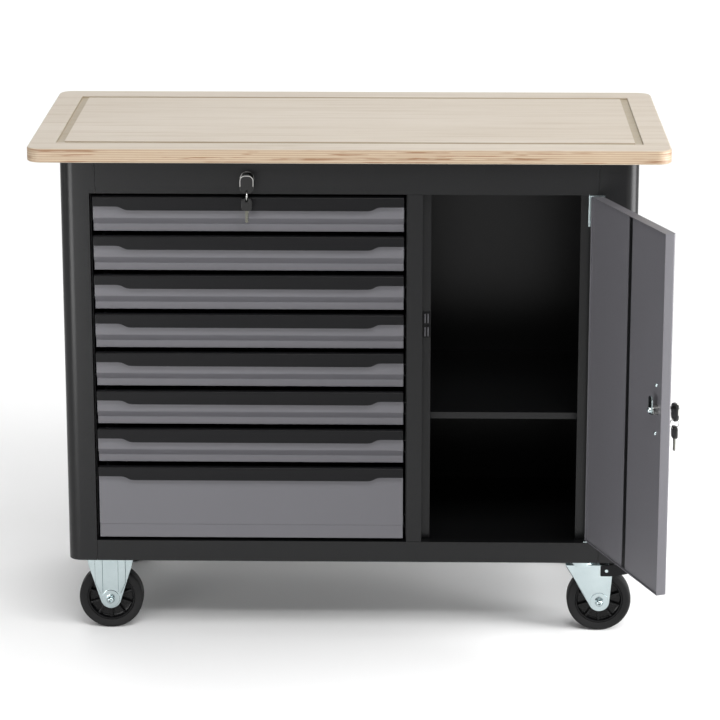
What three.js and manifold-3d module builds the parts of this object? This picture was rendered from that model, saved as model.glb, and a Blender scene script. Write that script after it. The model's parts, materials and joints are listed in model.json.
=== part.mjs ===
// Mobile workshop bench: plywood top, eight drawers, one cupboard with a hinged door, four casters.
// Millimetres, +Z up, front towards -Y. Built about the middle of the worktop, then set down so that
// the origin is the middle of the ground under the bench as it stands with its door open.
import * as THREE from 'three';
import { mergeVertices } from 'three/addons/utils/BufferGeometryUtils.js';
import Module from 'manifold-3d';

const wasm = await Module();
wasm.setup();

// Overall sizes
const TOP_WIDTH = 1200;
const TOP_DEPTH = 600;
const TOP_THICK = 27;
const TOP_CORNER = 28;
const TOP_ARRIS = 2;
const GROOVE_WIDTH = 15;
const GROOVE_DEEP = 4;
const GROOVE_FROM_SIDE = 50;
const GROOVE_FROM_FRONT = 60;
const SIDE_OVERHANG = 57.5;
const FRONT_OVERHANG = 30;
const BACK_OVERHANG = 25;
const SHEET = 1.5;
const CORNER_RADIUS = 26;
const SEAM = 0.6;
const FIT = 0.3;

// Front frame
const LEFT_STILE = 56;
const RIGHT_STILE = 63;
const CENTRE_STILE = 29;
const DRAWER_BAY = 596;
const HEADER_TALL = 64;
const BASE_RAIL_TALL = 41;
const FRAME_RETURN = 20;
const HEADER_EAR = 12;
const HEADER_CHAMFER = 12;
const STRIKE_WIDE = 16;
const STRIKE_RECESS = 25;
const JAMB_WIDE = 31;
const JAMB_RECESS = 30;
const BACK_FLANGE = 22;

// Drawers
const SHALLOW_DRAWERS = 7;
const DRAWER_PITCH = 75.5;
const DRAWER_GAP = 6.5;
const DEEP_FRONT = 143.4;
const BASE_GAP = 6.7;
const HEAD_GAP = 4.4;
const FRONT_SIDE_GAP = 6.5;
const FRONT_SHEET = 1.2;
const CREASE_BELOW_TOP = 42;
const CREASE_TALL = 11;
const CREASE_DEEP = 6.5;
const FOOT_CREASE_TALL = 27;
const FOOT_CREASE_DEEP = 1.2;
const TRAY_FROM_BACK = 66;
const TRAY_SHEET = 1.2;
const TRAY_BELOW_TOP = 17;
const TRAY_BACK_LOWER = 8;
const TRAY_LIFT = 6;
const RUNNER_SPACE = 12.5;
const RUNNER_TALL = 24;
const RUNNER_LIFT = 18;
const RUNNER_PLAY = 2;

// Full-width grip on each drawer
const GRIP_TALL = 26;
const GRIP_END_TALL = 18.6;
const GRIP_END_WIDE = 42;
const GRIP_STEP_WIDE = 26;
const GRIP_PROUD = 9;
const GRIP_WALL = 2.5;
const GRIP_HOOK = 13;

// Door
const DOOR_GAP = 3;
const DOOR_THICK = 20;
const DOOR_EDGE_RADIUS = 4;
const DOOR_OPEN_DEGREES = 110;
const HINGE_FROM_JAMB = 10;
const HINGE_FROM_FRONT = 5;
const HINGE_PIN = 6;
const HINGE_LEG = 66;
const HINGE_PLATE = 1.8;
const HINGE_RIB = 5;
const PIN_DEPTH = 9;
const DOOR_GROOVE_WIDE = 9;
const DOOR_GROOVE_DEEP = 14;
const DOOR_GROOVE_FROM_HINGE = 158;
const DOOR_LOCK_FROM_EDGE = 27;
const DOOR_LOCK_BELOW_TOP = 330;
const CATCH_TALL = 50;
const CATCH_FOOT = 442;
const CATCH_WAIST = 4;
const POLE_THICK = 2;
const POLE_EDGE = 3;

// Shelf
const SHELF_HEIGHT = 278;
const SHELF_LIP = 13;
const SHELF_SETBACK = 82;
const SHELF_LEDGE = 12;

// Locks and keys
const LOCK_FROM_BAY_CENTRE = -1.5;
const LOCK_BELOW_TOP = 33;
const LOCK_BEZEL = 26;
const LOCK_BARREL = 19;
const LOCK_PLUG = 12;
const LOCK_BEHIND = 27;
const LOCK_PROUD = 3;
const CAM_THICK = 2.5;
const CAM_REACH = 26;
const CAM_WIDE = 15;
const CRANK_RADIUS = 8;
const CRANK_PIN = 6;
const CRANK_PLAY = 0.5;
const KEY_WIDE = 25;
const KEY_TALL = 34;
const KEY_CORNER = 10;
const KEY_ABOVE_LOCK = 8.3;
const KEY_THICK = 5;
const KEY_OUT = 17;
const KEY_HOLE = 5.6;
const KEY_EDGE = 4.6;
const RING_RADIUS = 9;
const RING_WIRE = 1.8;
const SPARE_WIDE = 20;
const SPARE_TALL = 24;
const SPARE_CORNER = 6.7;
const SPARE_BLADE = 23;
const BLADE_WIDE = 6;
const BLADE_THICK = 2;

// Lock bar behind the drawers
const BAR_WIDE = 20;
const BAR_THICK = 3;
const BAR_OFFSET = 22;
const BAR_BEHIND_TRAY = 27;
const NIB_DROP = 9;
const NIB_CLEAR = 3.5;

// Casters
const WHEEL = 125;
const WHEEL_SIDES = 24;
const CASTER_TALL = 160;
const TREAD = 36;
const TYRE_DEEP = 16;
const TYRE_SHOULDER = 5;
const TYRE_DISH = 2;
const HUB_WIDE = 39;
const HUB_DIAMETER = 30;
const RIM_RIBS = 10;
const RIM_RIB = 4;
const RIM_WEB = 8;
const RIM_FLANGE = 4;
const RIM_RECESS = 3;
const AXLE = 12;
const AXLE_HEAD = 18;
const AXLE_HEAD_TALL = 7;
const AXLE_PAD = 35;
const AXLE_PAD_TALL = 1.5;
const FORK_INSIDE = 42;
const FORK_SHEET = 3;
const FORK_LOBE = 20;
const FORK_TOP_WIDE = 85;
const FORK_SHOULDER_UP = 68;
const FORK_FLARE_WIDE = 101;
const FORK_FLARE_TALL = 12;
const FORK_RIB = 15;
const FORK_RIB_FROM_MIDDLE = 15;
const FORK_RIB_FOOT = 14;
const FORK_RIB_PROUD = 2.5;
const PLATE_LONG = 105;
const PLATE_WIDE = 85;
const PLATE_THICK = 3;
const PLATE_CORNER = 10;
const PLATE_HOLE = 9;
const PLATE_HOLE_EDGE = 10;
const CASTER_FROM_LEFT = 74.5;
const CASTER_FROM_RIGHT = 93;
const CASTER_FROM_FRONT = 78;
const CASTER_FROM_BACK = 78;
const SWIVEL_TRAIL = 37;
const SWIVEL_RING = 58;
const SWIVEL_RING_TALL = 20;
const SWIVEL_TOE = 24.5;
const KING_PIN = 14;
const BRAKE_PIVOT_X = 13;
const BRAKE_PIVOT_Z = 64.5;
const BRAKE_PIN = 7;
const BRAKE_TALL = 23;
const BRAKE_SIDE = 4;
const BRAKE_REACH = 44;
const PEDAL_FROM = 17.5;
const SHOE_DROP = 3.5;

// Levels and planes that follow from the sizes above
const CABINET_FOOT = CASTER_TALL;
const OPENING_FOOT = CABINET_FOOT + BASE_RAIL_TALL;
const DRAWERS_TALL = BASE_GAP + DEEP_FRONT + SHALLOW_DRAWERS * DRAWER_PITCH + HEAD_GAP;
const OPENING_HEAD = OPENING_FOOT + DRAWERS_TALL;
const CABINET_HEAD = OPENING_HEAD + HEADER_TALL;
const PANEL_HEAD = CABINET_HEAD - FIT;
const RIGHT = TOP_WIDTH / 2 - SIDE_OVERHANG;
const LEFT = -RIGHT;
const FRONT = -TOP_DEPTH / 2 + FRONT_OVERHANG;
const BACK = TOP_DEPTH / 2 - BACK_OVERHANG;
const BAY_LEFT = LEFT + LEFT_STILE;
const BAY_RIGHT = BAY_LEFT + DRAWER_BAY;
const DOOR_LEFT = BAY_RIGHT + CENTRE_STILE;
const DOOR_RIGHT = RIGHT - RIGHT_STILE;
const BACK_INSIDE = BACK - SHEET - FIT - SHEET;
const FLOOR_TOP = CABINET_FOOT + SHEET;
const LOCK_X = (BAY_LEFT + BAY_RIGHT) / 2 + LOCK_FROM_BAY_CENTRE;
const LOCK_Z = CABINET_HEAD - LOCK_BELOW_TOP;

const bench = new THREE.Group();

// Finishes
const paint = (color, roughness, metalness) => () =>
  new THREE.MeshStandardMaterial({ color, roughness, metalness });
const plywood = paint(0xd6c7ae, 0.6, 0);
const anthracite = paint(0x2f3132, 0.5, 0.1);
const greyPaint = paint(0x77767b, 0.45, 0.1);
const gripPlastic = paint(0x1d1e20, 0.4, 0);
const zinc = paint(0xb9c6c8, 0.35, 0.9);
const chrome = paint(0xd0d2d3, 0.2, 1);
const keyPlastic = paint(0x151515, 0.4, 0);
const rimPlastic = paint(0x17181a, 0.5, 0);
const rubber = paint(0x2b2b2b, 0.85, 0);

// A closed three.js geometry as a solid that can be joined and cut
function solid(geometry) {
  geometry.deleteAttribute('normal');
  geometry.deleteAttribute('uv');
  const merged = mergeVertices(geometry, 1e-4);
  const vertProperties = new Float32Array(merged.attributes.position.array);
  const triVerts = new Uint32Array(merged.index.array);
  return new wasm.Manifold(new wasm.Mesh({ numProp: 3, vertProperties, triVerts }));
}

// A box between low and high values on each axis
function block([x0, x1], [y0, y1], [z0, z1]) {
  const geometry = new THREE.BoxGeometry(x1 - x0, y1 - y0, z1 - z0);
  geometry.translate((x0 + x1) / 2, (y0 + y1) / 2, (z0 + z1) / 2);
  return solid(geometry);
}

// A shape extruded along one axis between two values. Across X the shape is drawn in Y and Z,
// across Y in X and Z, and across Z in X and Y.
function prism(shape, axis, low, high, curveSegments = 6) {
  const options = { depth: high - low, bevelEnabled: false, curveSegments };
  const geometry = new THREE.ExtrudeGeometry(shape, options);
  const turn = new THREE.Matrix4();
  const [x, y, z] = [[1, 0, 0], [0, 1, 0], [0, 0, 1]].map((unit) => new THREE.Vector3(...unit));
  if (axis === 'x') turn.makeBasis(y, z, x).setPosition(low, 0, 0);
  if (axis === 'y') turn.makeBasis(x, z, y.clone().negate()).setPosition(0, high, 0);
  if (axis === 'z') turn.makeBasis(x, y, z).setPosition(0, 0, low);
  geometry.applyMatrix4(turn);
  return solid(geometry);
}

// A round or many-sided bar along one axis, centred on the other two
function bar(axis, [a, b], low, high, diameter, sides = 16) {
  const shape = new THREE.Shape();
  const points = [];
  for (let i = 0; i < sides; i += 1) {
    const angle = ((i + 0.5) / sides) * 2 * Math.PI;
    points.push(new THREE.Vector2(a + diameter / 2 * Math.cos(angle), b + diameter / 2 * Math.sin(angle)));
  }
  shape.setFromPoints(points);
  return prism(shape, axis, low, high);
}

const join = (...solids) => solids.reduce((whole, next) => whole.add(next));
const cut = (whole, ...tools) => tools.reduce((left, tool) => left.subtract(tool), whole);
const outline = (points) => new THREE.Shape(points.map(([u, v]) => new THREE.Vector2(u, v)));

// A rectangle with rounded corners
function roundedRectangle([u0, u1], [v0, v1], radius) {
  const shape = new THREE.Shape();
  shape.absarc(u1 - radius, v0 + radius, radius, -Math.PI / 2, 0);
  shape.absarc(u1 - radius, v1 - radius, radius, 0, Math.PI / 2);
  shape.absarc(u0 + radius, v1 - radius, radius, Math.PI / 2, Math.PI);
  shape.absarc(u0 + radius, v0 + radius, radius, Math.PI, 1.5 * Math.PI);
  shape.closePath();
  return shape;
}

// The section of a folded sheet: its outer face follows the points, [u, v, fold radius], and its
// thickness lies to the left of the way they run.
function foldedSheet(points, thick, arcSteps = 6) {
  const path = [];
  points.forEach(([u, v, radius], i) => {
    const here = new THREE.Vector2(u, v);
    if (!radius) {
      path.push(here);
      return;
    }
    const before = new THREE.Vector2(...points[i - 1]).sub(here).normalize();
    const after = new THREE.Vector2(...points[i + 1]).sub(here).normalize();
    const half = before.angleTo(after) / 2;
    const middle = before.clone().add(after).normalize().multiplyScalar(radius / Math.sin(half)).add(here);
    const start = here.clone().addScaledVector(before, radius / Math.tan(half)).sub(middle);
    const turn = Math.sign(before.cross(after)) * (2 * half - Math.PI);
    for (let step = 0; step <= arcSteps; step += 1) {
      path.push(start.clone().rotateAround(new THREE.Vector2(), (turn * step) / arcSteps).add(middle));
    }
  });
  const left = (from, to) => {
    const along = to.clone().sub(from).normalize();
    return new THREE.Vector2(-along.y, along.x);
  };
  const inner = path.map((point, i) => {
    const normals = [];
    if (i > 0) normals.push(left(path[i - 1], point));
    if (i < path.length - 1) normals.push(left(point, path[i + 1]));
    const [first, second = first] = normals;
    const mitre = first.clone().add(second).multiplyScalar(thick / (1 + first.dot(second)));
    return point.clone().add(mitre);
  });
  return new THREE.Shape([...path, ...inner.reverse()]);
}

// A named piece in its group
function piece(name, shape, finish, group = bench) {
  const { vertProperties, triVerts } = shape.getMesh();
  const geometry = new THREE.BufferGeometry();
  geometry.setAttribute('position', new THREE.BufferAttribute(vertProperties, 3));
  geometry.setIndex(new THREE.BufferAttribute(triVerts, 1));
  geometry.computeVertexNormals();
  const mesh = new THREE.Mesh(geometry, finish());
  mesh.name = name;
  group.add(mesh);
  return mesh;
}

// Worktop: a plywood board with rounded corners, broken edges and a routed groove near its rim
function makeWorktop() {
  const across = [-TOP_WIDTH / 2, TOP_WIDTH / 2];
  const along = [-TOP_DEPTH / 2, TOP_DEPTH / 2];
  const inset = ([low, high], by) => [low + by, high - by];
  const shape = roundedRectangle(inset(across, TOP_ARRIS), inset(along, TOP_ARRIS), TOP_CORNER - TOP_ARRIS);
  const geometry = new THREE.ExtrudeGeometry(shape, {
    depth: TOP_THICK - 2 * TOP_ARRIS,
    bevelThickness: TOP_ARRIS,
    bevelSize: TOP_ARRIS,
    bevelSegments: 1,
    curveSegments: 8,
  });
  geometry.translate(0, 0, CABINET_HEAD + TOP_ARRIS);
  const grooveX = inset(across, GROOVE_FROM_SIDE);
  const grooveY = inset(along, GROOVE_FROM_FRONT);
  const topFace = CABINET_HEAD + TOP_THICK;
  const grooveZ = [topFace - GROOVE_DEEP, topFace + GROOVE_DEEP];
  const ring = cut(
    block(grooveX, grooveY, grooveZ),
    block(inset(grooveX, GROOVE_WIDTH), inset(grooveY, GROOVE_WIDTH),
      [topFace - 2 * GROOVE_DEEP, topFace + 2 * GROOVE_DEEP]),
  );
  piece('worktop', cut(solid(geometry), ring), plywood);
}

// The header's front outline: its upper corners run out to the stiles along a short diagonal seam
const headerLeft = BAY_LEFT + HEADER_EAR;
const headerRight = DOOR_RIGHT - HEADER_EAR;
function headerOutline(grow) {
  const knee = PANEL_HEAD - HEADER_CHAMFER;
  return outline([
    [headerLeft - grow, OPENING_HEAD - grow],
    [headerRight + grow, OPENING_HEAD - grow],
    [headerRight + grow, knee],
    [headerRight + HEADER_CHAMFER + grow, PANEL_HEAD + grow],
    [headerLeft - HEADER_CHAMFER - grow, PANEL_HEAD + grow],
    [headerLeft - grow, knee],
  ]);
}

// The ear that each stile carries past the opening's edge, beside the header
function headerEar(across) {
  const slab = block(across, [FRONT, FRONT + SHEET], [OPENING_HEAD, PANEL_HEAD]);
  return cut(slab, prism(headerOutline(SEAM), 'y', FRONT - SHEET, FRONT + 2 * SHEET));
}

// Cabinet sides: each is one sheet folded round the front corner into a stile, with a back flange
function makeSides() {
  const left = foldedSheet([
    [LEFT + BACK_FLANGE, BACK],
    [LEFT, BACK],
    [LEFT, FRONT, CORNER_RADIUS],
    [BAY_LEFT, FRONT],
    [BAY_LEFT, FRONT + FRAME_RETURN],
  ], SHEET);
  const leftSheet = prism(left, 'z', CABINET_FOOT, PANEL_HEAD);
  piece('left_side_panel', join(leftSheet, headerEar([BAY_LEFT - SHEET, headerLeft])), anthracite);

  const jamb = FRONT + JAMB_RECESS;
  const right = foldedSheet([
    [DOOR_RIGHT - JAMB_WIDE, jamb],
    [DOOR_RIGHT, jamb],
    [DOOR_RIGHT, FRONT],
    [RIGHT, FRONT, CORNER_RADIUS],
    [RIGHT, BACK],
    [RIGHT - BACK_FLANGE, BACK],
  ], SHEET);
  const rightSheet = prism(right, 'z', CABINET_FOOT, PANEL_HEAD);
  const lowJamb = block([DOOR_RIGHT - 2 * JAMB_WIDE, DOOR_RIGHT], [jamb - SHEET, jamb + 2 * SHEET],
    [CABINET_FOOT - SHEET, FLOOR_TOP + FIT]);
  const ear = headerEar([headerRight, DOOR_RIGHT + SHEET]);
  const ledge = shelfLedge(RIGHT - SHEET, -1);
  piece('right_side_panel', join(cut(rightSheet, lowJamb), ear, ledge), anthracite);
}

// The folded angle that carries one end of the shelf
const shelfTop = CABINET_FOOT + SHELF_HEIGHT;
const shelfFront = FRONT + SHELF_SETBACK;
function shelfLedge(wall, side) {
  const reach = [wall - side * SHEET / 2, wall + side * SHELF_LEDGE].sort((a, b) => a - b);
  const under = shelfTop - SHEET - FIT;
  return block(reach, [shelfFront + SHELF_LIP, BACK_INSIDE - SHELF_LIP], [under - SHEET, under]);
}

// Header, base pan, back panel, divider and shelf close the cabinet between the sides
function makeCabinet() {
  const frameX = [BAY_LEFT + FIT, DOOR_RIGHT - FIT];
  const lip = [FRONT, FRONT + FRAME_RETURN];
  const headerFace = prism(headerOutline(0), 'y', FRONT, FRONT + SHEET);
  const headerLipX = [headerLeft, headerRight];
  const headerLip = block(headerLipX, lip, [OPENING_HEAD, OPENING_HEAD + SHEET]);
  const headerTop = block(headerLipX, lip, [PANEL_HEAD - SHEET, PANEL_HEAD]);
  const lockHole = bar('y', [LOCK_X, LOCK_Z], FRONT - SHEET, FRONT + 2 * SHEET, LOCK_BARREL + 2 * FIT);
  piece('front_header', cut(join(headerFace, headerLip, headerTop), lockHole), anthracite);

  const insideX = [LEFT + SHEET + FIT, RIGHT - SHEET - FIT];
  const behindStile = FRONT + SHEET + FIT;
  const cornerInside = CORNER_RADIUS - SHEET - FIT;
  const floor = new THREE.Shape();
  floor.moveTo(insideX[1], BACK_INSIDE - FIT);
  floor.lineTo(insideX[0], BACK_INSIDE - FIT);
  const cornerY = behindStile + cornerInside;
  floor.absarc(insideX[0] + cornerInside, cornerY, cornerInside, Math.PI, 1.5 * Math.PI);
  floor.absarc(insideX[1] - cornerInside, cornerY, cornerInside, 1.5 * Math.PI, 2 * Math.PI);
  floor.closePath();
  const slotZ = [CABINET_FOOT - SHEET, FLOOR_TOP + SHEET];
  const returnSlot = (edge) => block([edge - SHEET - FIT, edge + SHEET + FIT],
    [FRONT - FIT, FRONT + FRAME_RETURN + FIT], slotZ);
  const jambSlot = block([DOOR_RIGHT - FIT, DOOR_RIGHT + SHEET + FIT],
    [FRONT - FIT, FRONT + JAMB_RECESS + SHEET + FIT], slotZ);
  const pan = cut(prism(floor, 'z', CABINET_FOOT, FLOOR_TOP), returnSlot(BAY_LEFT - SHEET / 2), jambSlot);
  const rail = prism(foldedSheet([
    [FRONT + FRAME_RETURN, OPENING_FOOT],
    [FRONT, OPENING_FOOT],
    [FRONT, CABINET_FOOT],
    [behindStile + FRAME_RETURN, CABINET_FOOT],
  ], SHEET), 'x', ...frameX);
  piece('base_pan', join(pan, rail), anthracite);

  const backX = [LEFT + SHEET + FIT, RIGHT - SHEET - FIT];
  const backFace = BACK - SHEET - FIT;
  const back = foldedSheet([
    [backFace, CABINET_FOOT],
    [backFace, PANEL_HEAD],
    [backFace - FRAME_RETURN, PANEL_HEAD],
  ], SHEET);
  piece('back_panel', prism(back, 'x', ...backX), anthracite);

  const strike = FRONT + STRIKE_RECESS;
  const wallBack = BACK_INSIDE - FIT;
  const stile = prism(foldedSheet([
    [BAY_RIGHT, wallBack],
    [BAY_RIGHT, FRONT],
    [DOOR_LEFT, FRONT],
    [DOOR_LEFT, strike],
    [DOOR_LEFT + STRIKE_WIDE, strike],
  ], SHEET), 'z', OPENING_FOOT + FIT, OPENING_HEAD - FIT);
  const wallZ = [FLOOR_TOP + FIT, PANEL_HEAD - SHEET - FIT];
  const wallY = [FRONT + FRAME_RETURN + FIT, wallBack - FRAME_RETURN];
  const wall = block([BAY_RIGHT, BAY_RIGHT + SHEET], wallY, wallZ);
  piece('centre_divider', join(stile, wall, shelfLedge(BAY_RIGHT + SHEET, 1)), anthracite);

  const shelf = foldedSheet([
    [shelfFront, shelfTop - SHELF_LIP],
    [shelfFront, shelfTop],
    [BACK_INSIDE - FIT, shelfTop],
  ].reverse(), SHEET);
  piece('shelf', prism(shelf, 'x', BAY_RIGHT + SHEET + FIT, RIGHT - SHEET - FIT), anthracite);
}

// Drawer levels, counted from the top: the foot and the head of each front
const drawers = [];
const deepHead = OPENING_FOOT + BASE_GAP + DEEP_FRONT;
for (let i = 0; i < SHALLOW_DRAWERS; i += 1) {
  const foot = deepHead + DRAWER_GAP + (SHALLOW_DRAWERS - 1 - i) * DRAWER_PITCH;
  drawers.push({ foot, head: foot + DRAWER_PITCH - DRAWER_GAP });
}
drawers.push({ foot: OPENING_FOOT + BASE_GAP, head: deepHead, deep: true });

const trayLeft = BAY_LEFT + SHEET + RUNNER_SPACE;
const trayRight = BAY_RIGHT - SHEET - RUNNER_SPACE;
const trayFront = FRONT + CREASE_DEEP + FRONT_SHEET;
const trayBack = BACK_INSIDE - TRAY_FROM_BACK;
const trayTop = ({ head }) => head - TRAY_BELOW_TOP;
const runnerFront = FRONT + FRAME_RETURN + FIT;

// Drawer tray with its pressed front and the slide bars on its sides
function makeDrawer(name, drawer, group) {
  const { foot, head, deep } = drawer;
  const crease = deep ? foot + FOOT_CREASE_TALL : head - CREASE_BELOW_TOP;
  const step = deep ? FOOT_CREASE_DEEP : CREASE_DEEP;
  const creaseFoot = deep ? crease - FOOT_CREASE_DEEP : crease - CREASE_TALL;
  const face = FRONT + FIT;
  const section = foldedSheet([
    [face, head - GRIP_WALL - FIT],
    [face, crease],
    [face + step, creaseFoot],
    [face + step, foot],
    [trayFront + FRAME_RETURN, foot],
  ], FRONT_SHEET);
  const front = prism(section, 'x', BAY_LEFT + FRONT_SIDE_GAP, BAY_RIGHT - FRONT_SIDE_GAP);

  const floor = foot + TRAY_LIFT;
  const top = trayTop(drawer);
  const shell = block([trayLeft, trayRight], [trayFront, trayBack], [floor, top]);
  const hollow = block([trayLeft + TRAY_SHEET, trayRight - TRAY_SHEET],
    [trayFront + TRAY_SHEET, trayBack - TRAY_SHEET], [floor + TRAY_SHEET, top + TRAY_SHEET]);
  const lowBack = block([trayLeft - TRAY_SHEET, trayRight + TRAY_SHEET],
    [trayBack - 2 * TRAY_SHEET, trayBack + TRAY_SHEET], [top - TRAY_BACK_LOWER, top + TRAY_SHEET]);
  const tray = cut(shell, hollow, lowBack);
  const weld = block([trayLeft, trayRight], [face + step + FRONT_SHEET / 2, trayFront + TRAY_SHEET / 2],
    [floor, floor + TRAY_LIFT]);

  const channel = foot + RUNNER_LIFT;
  const barZ = [channel + SHEET + RUNNER_PLAY, channel + RUNNER_TALL - SHEET - RUNNER_PLAY];
  const barY = [runnerFront, trayBack];
  const reach = RUNNER_SPACE - SHEET - FIT - RUNNER_PLAY;
  const bars = [
    block([trayLeft - reach, trayLeft + TRAY_SHEET / 2], barY, barZ),
    block([trayRight - TRAY_SHEET / 2, trayRight + reach], barY, barZ),
  ];
  piece(name, join(front, tray, weld, ...bars), greyPaint, group);
}

// Grip: a lip across the whole front, shallower at its ends, with a hook over the front's top edge
function makeGrip(name, { head }, group) {
  const left = BAY_LEFT + FRONT_SIDE_GAP;
  const right = BAY_RIGHT - FRONT_SIDE_GAP;
  const shallow = head - GRIP_END_TALL;
  const low = head - GRIP_TALL;
  const half = GRIP_STEP_WIDE / 2;
  const lip = new THREE.Shape();
  lip.moveTo(left, head);
  lip.lineTo(left, shallow);
  lip.lineTo(left + GRIP_END_WIDE, shallow);
  const leftEnd = left + GRIP_END_WIDE + GRIP_STEP_WIDE;
  lip.bezierCurveTo(leftEnd - half, shallow, leftEnd - half, low, leftEnd, low);
  const rightEnd = right - GRIP_END_WIDE - GRIP_STEP_WIDE;
  lip.lineTo(rightEnd, low);
  lip.bezierCurveTo(rightEnd + half, low, rightEnd + half, shallow, right - GRIP_END_WIDE, shallow);
  lip.lineTo(right, shallow);
  lip.lineTo(right, head);
  lip.closePath();
  const lipFace = FRONT - GRIP_PROUD;
  const lipBack = lipFace + GRIP_WALL;
  const lipPlate = prism(lip, 'y', lipFace, lipBack, 5);
  const hookFront = FRONT + FIT + FRONT_SHEET + FIT;
  const hookBack = hookFront + GRIP_WALL;
  const edge = new THREE.Shape();
  edge.moveTo(lipBack, head - GRIP_WALL);
  edge.lineTo(lipFace, head - GRIP_WALL);
  edge.absarc(lipFace + GRIP_WALL, head - GRIP_WALL, GRIP_WALL, Math.PI, Math.PI / 2, true);
  edge.lineTo(hookBack, head);
  edge.lineTo(hookBack, head - GRIP_HOOK);
  edge.lineTo(hookFront, head - GRIP_HOOK);
  edge.lineTo(hookFront, head - GRIP_WALL);
  edge.closePath();
  const hook = prism(edge, 'x', left, right, 3);
  const above = block([left - 1, right + 1], [lipFace - 1, lipBack + 1], [head - GRIP_WALL, head + 1]);
  piece(name, join(cut(lipPlate, above), hook), gripPlastic, group);
}

function makeDrawers() {
  drawers.forEach((drawer, i) => {
    const group = new THREE.Group();
    makeDrawer(`drawer_${i + 1}`, drawer, group);
    makeGrip(`drawer_${i + 1}_grip`, drawer, group);
    bench.add(group);
  });
}

// Runner racks: a tall plate each side of the bay with one channel for every drawer
function makeRacks() {
  const channelBack = trayBack + TRAY_SHEET;
  const plateZ = [FLOOR_TOP + FIT, OPENING_HEAD - FIT];
  [['left', BAY_LEFT + FIT, 1], ['right', BAY_RIGHT - FIT, -1]].forEach(([side, wall, way]) => {
    const inward = (near, far) => [wall + way * near, wall + way * far].sort((a, b) => a - b);
    const plate = block(inward(0, SHEET), [runnerFront, BACK_INSIDE - FIT], plateZ);
    const channels = drawers.map(({ foot }) => {
      const low = foot + RUNNER_LIFT;
      const high = low + RUNNER_TALL;
      const outer = block(inward(SHEET / 2, RUNNER_SPACE - FIT), [runnerFront, channelBack], [low, high]);
      const inner = block(inward(SHEET, RUNNER_SPACE + SHEET), [runnerFront - SHEET, channelBack + SHEET],
        [low + SHEET, high - SHEET]);
      return cut(outer, inner);
    });
    piece(`${side}_runner_rack`, join(plate, ...channels), anthracite);
  });
}

// Locks: a bezelled housing, a plug that turns in it, the key with its folded head, ring and spare key
const lockBack = FRONT + LOCK_BEHIND;
const plugFront = FRONT - LOCK_PROUD - 2 * FIT;

function lockHousing(x, z) {
  const bezel = bar('y', [x, z], FRONT - LOCK_PROUD, FRONT - FIT, LOCK_BEZEL, 20);
  const barrel = bar('y', [x, z], FRONT - LOCK_PROUD / 2, lockBack, LOCK_BARREL, 20);
  const bore = bar('y', [x, z], FRONT - 2 * LOCK_PROUD, lockBack + LOCK_PROUD, LOCK_PLUG + 2 * FIT);
  return cut(join(bezel, barrel), bore);
}

function lockPlug(x, z) {
  const slot = block([x - BLADE_THICK / 2 - FIT, x + BLADE_THICK / 2 + FIT], [plugFront - FIT, FRONT],
    [z - BLADE_WIDE / 2 - FIT, z + BLADE_WIDE / 2 + FIT]);
  return cut(bar('y', [x, z], plugFront, lockBack + FIT + CAM_THICK / 2, LOCK_PLUG), slot);
}

function makeKeys(prefix, x, z, lockGroup, ringGroup) {
  const middle = FRONT - LOCK_PROUD - KEY_OUT;
  const faceY = [middle - KEY_THICK / 2, middle + KEY_THICK / 2];
  const headTop = z + KEY_ABOVE_LOCK;
  const headFoot = headTop - KEY_TALL;
  const about = (wide) => [x - wide / 2, x + wide / 2];
  const head = prism(roundedRectangle(about(KEY_WIDE), [headFoot, headTop], KEY_CORNER), 'y', ...faceY, 4);
  const eye = headFoot + KEY_EDGE;
  const hole = (height) => bar('y', [x, height], faceY[0] - 1, faceY[1] + 1, KEY_HOLE, 10);
  const shank = block([x - BLADE_THICK / 2, x + BLADE_THICK / 2], [middle, FRONT - FIT],
    [z - BLADE_WIDE / 2, z + BLADE_WIDE / 2]);
  piece(`${prefix}_key`, join(cut(head, hole(eye)), shank), keyPlastic, lockGroup);

  const torus = new THREE.TorusGeometry(RING_RADIUS, RING_WIRE / 2, 6, 20);
  torus.rotateY(Math.PI / 2);
  torus.translate(x, middle, eye - RING_RADIUS);
  piece(`${prefix}_key_ring`, solid(torus), chrome, ringGroup);

  const spareEye = eye - 2 * RING_RADIUS;
  const spareTop = spareEye + KEY_EDGE;
  const spareFoot = spareTop - SPARE_TALL;
  const bowFace = roundedRectangle(about(SPARE_WIDE), [spareFoot, spareTop], SPARE_CORNER);
  const bow = prism(bowFace, 'y', ...faceY, 4);
  const blade = block([x - BLADE_WIDE / 2, x + BLADE_WIDE / 2],
    [middle - BLADE_THICK / 2, middle + BLADE_THICK / 2], [spareFoot - SPARE_BLADE, spareFoot + 1]);
  piece(`${prefix}_spare_key`, join(cut(bow, hole(spareEye)), blade), keyPlastic, ringGroup);
}

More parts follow.
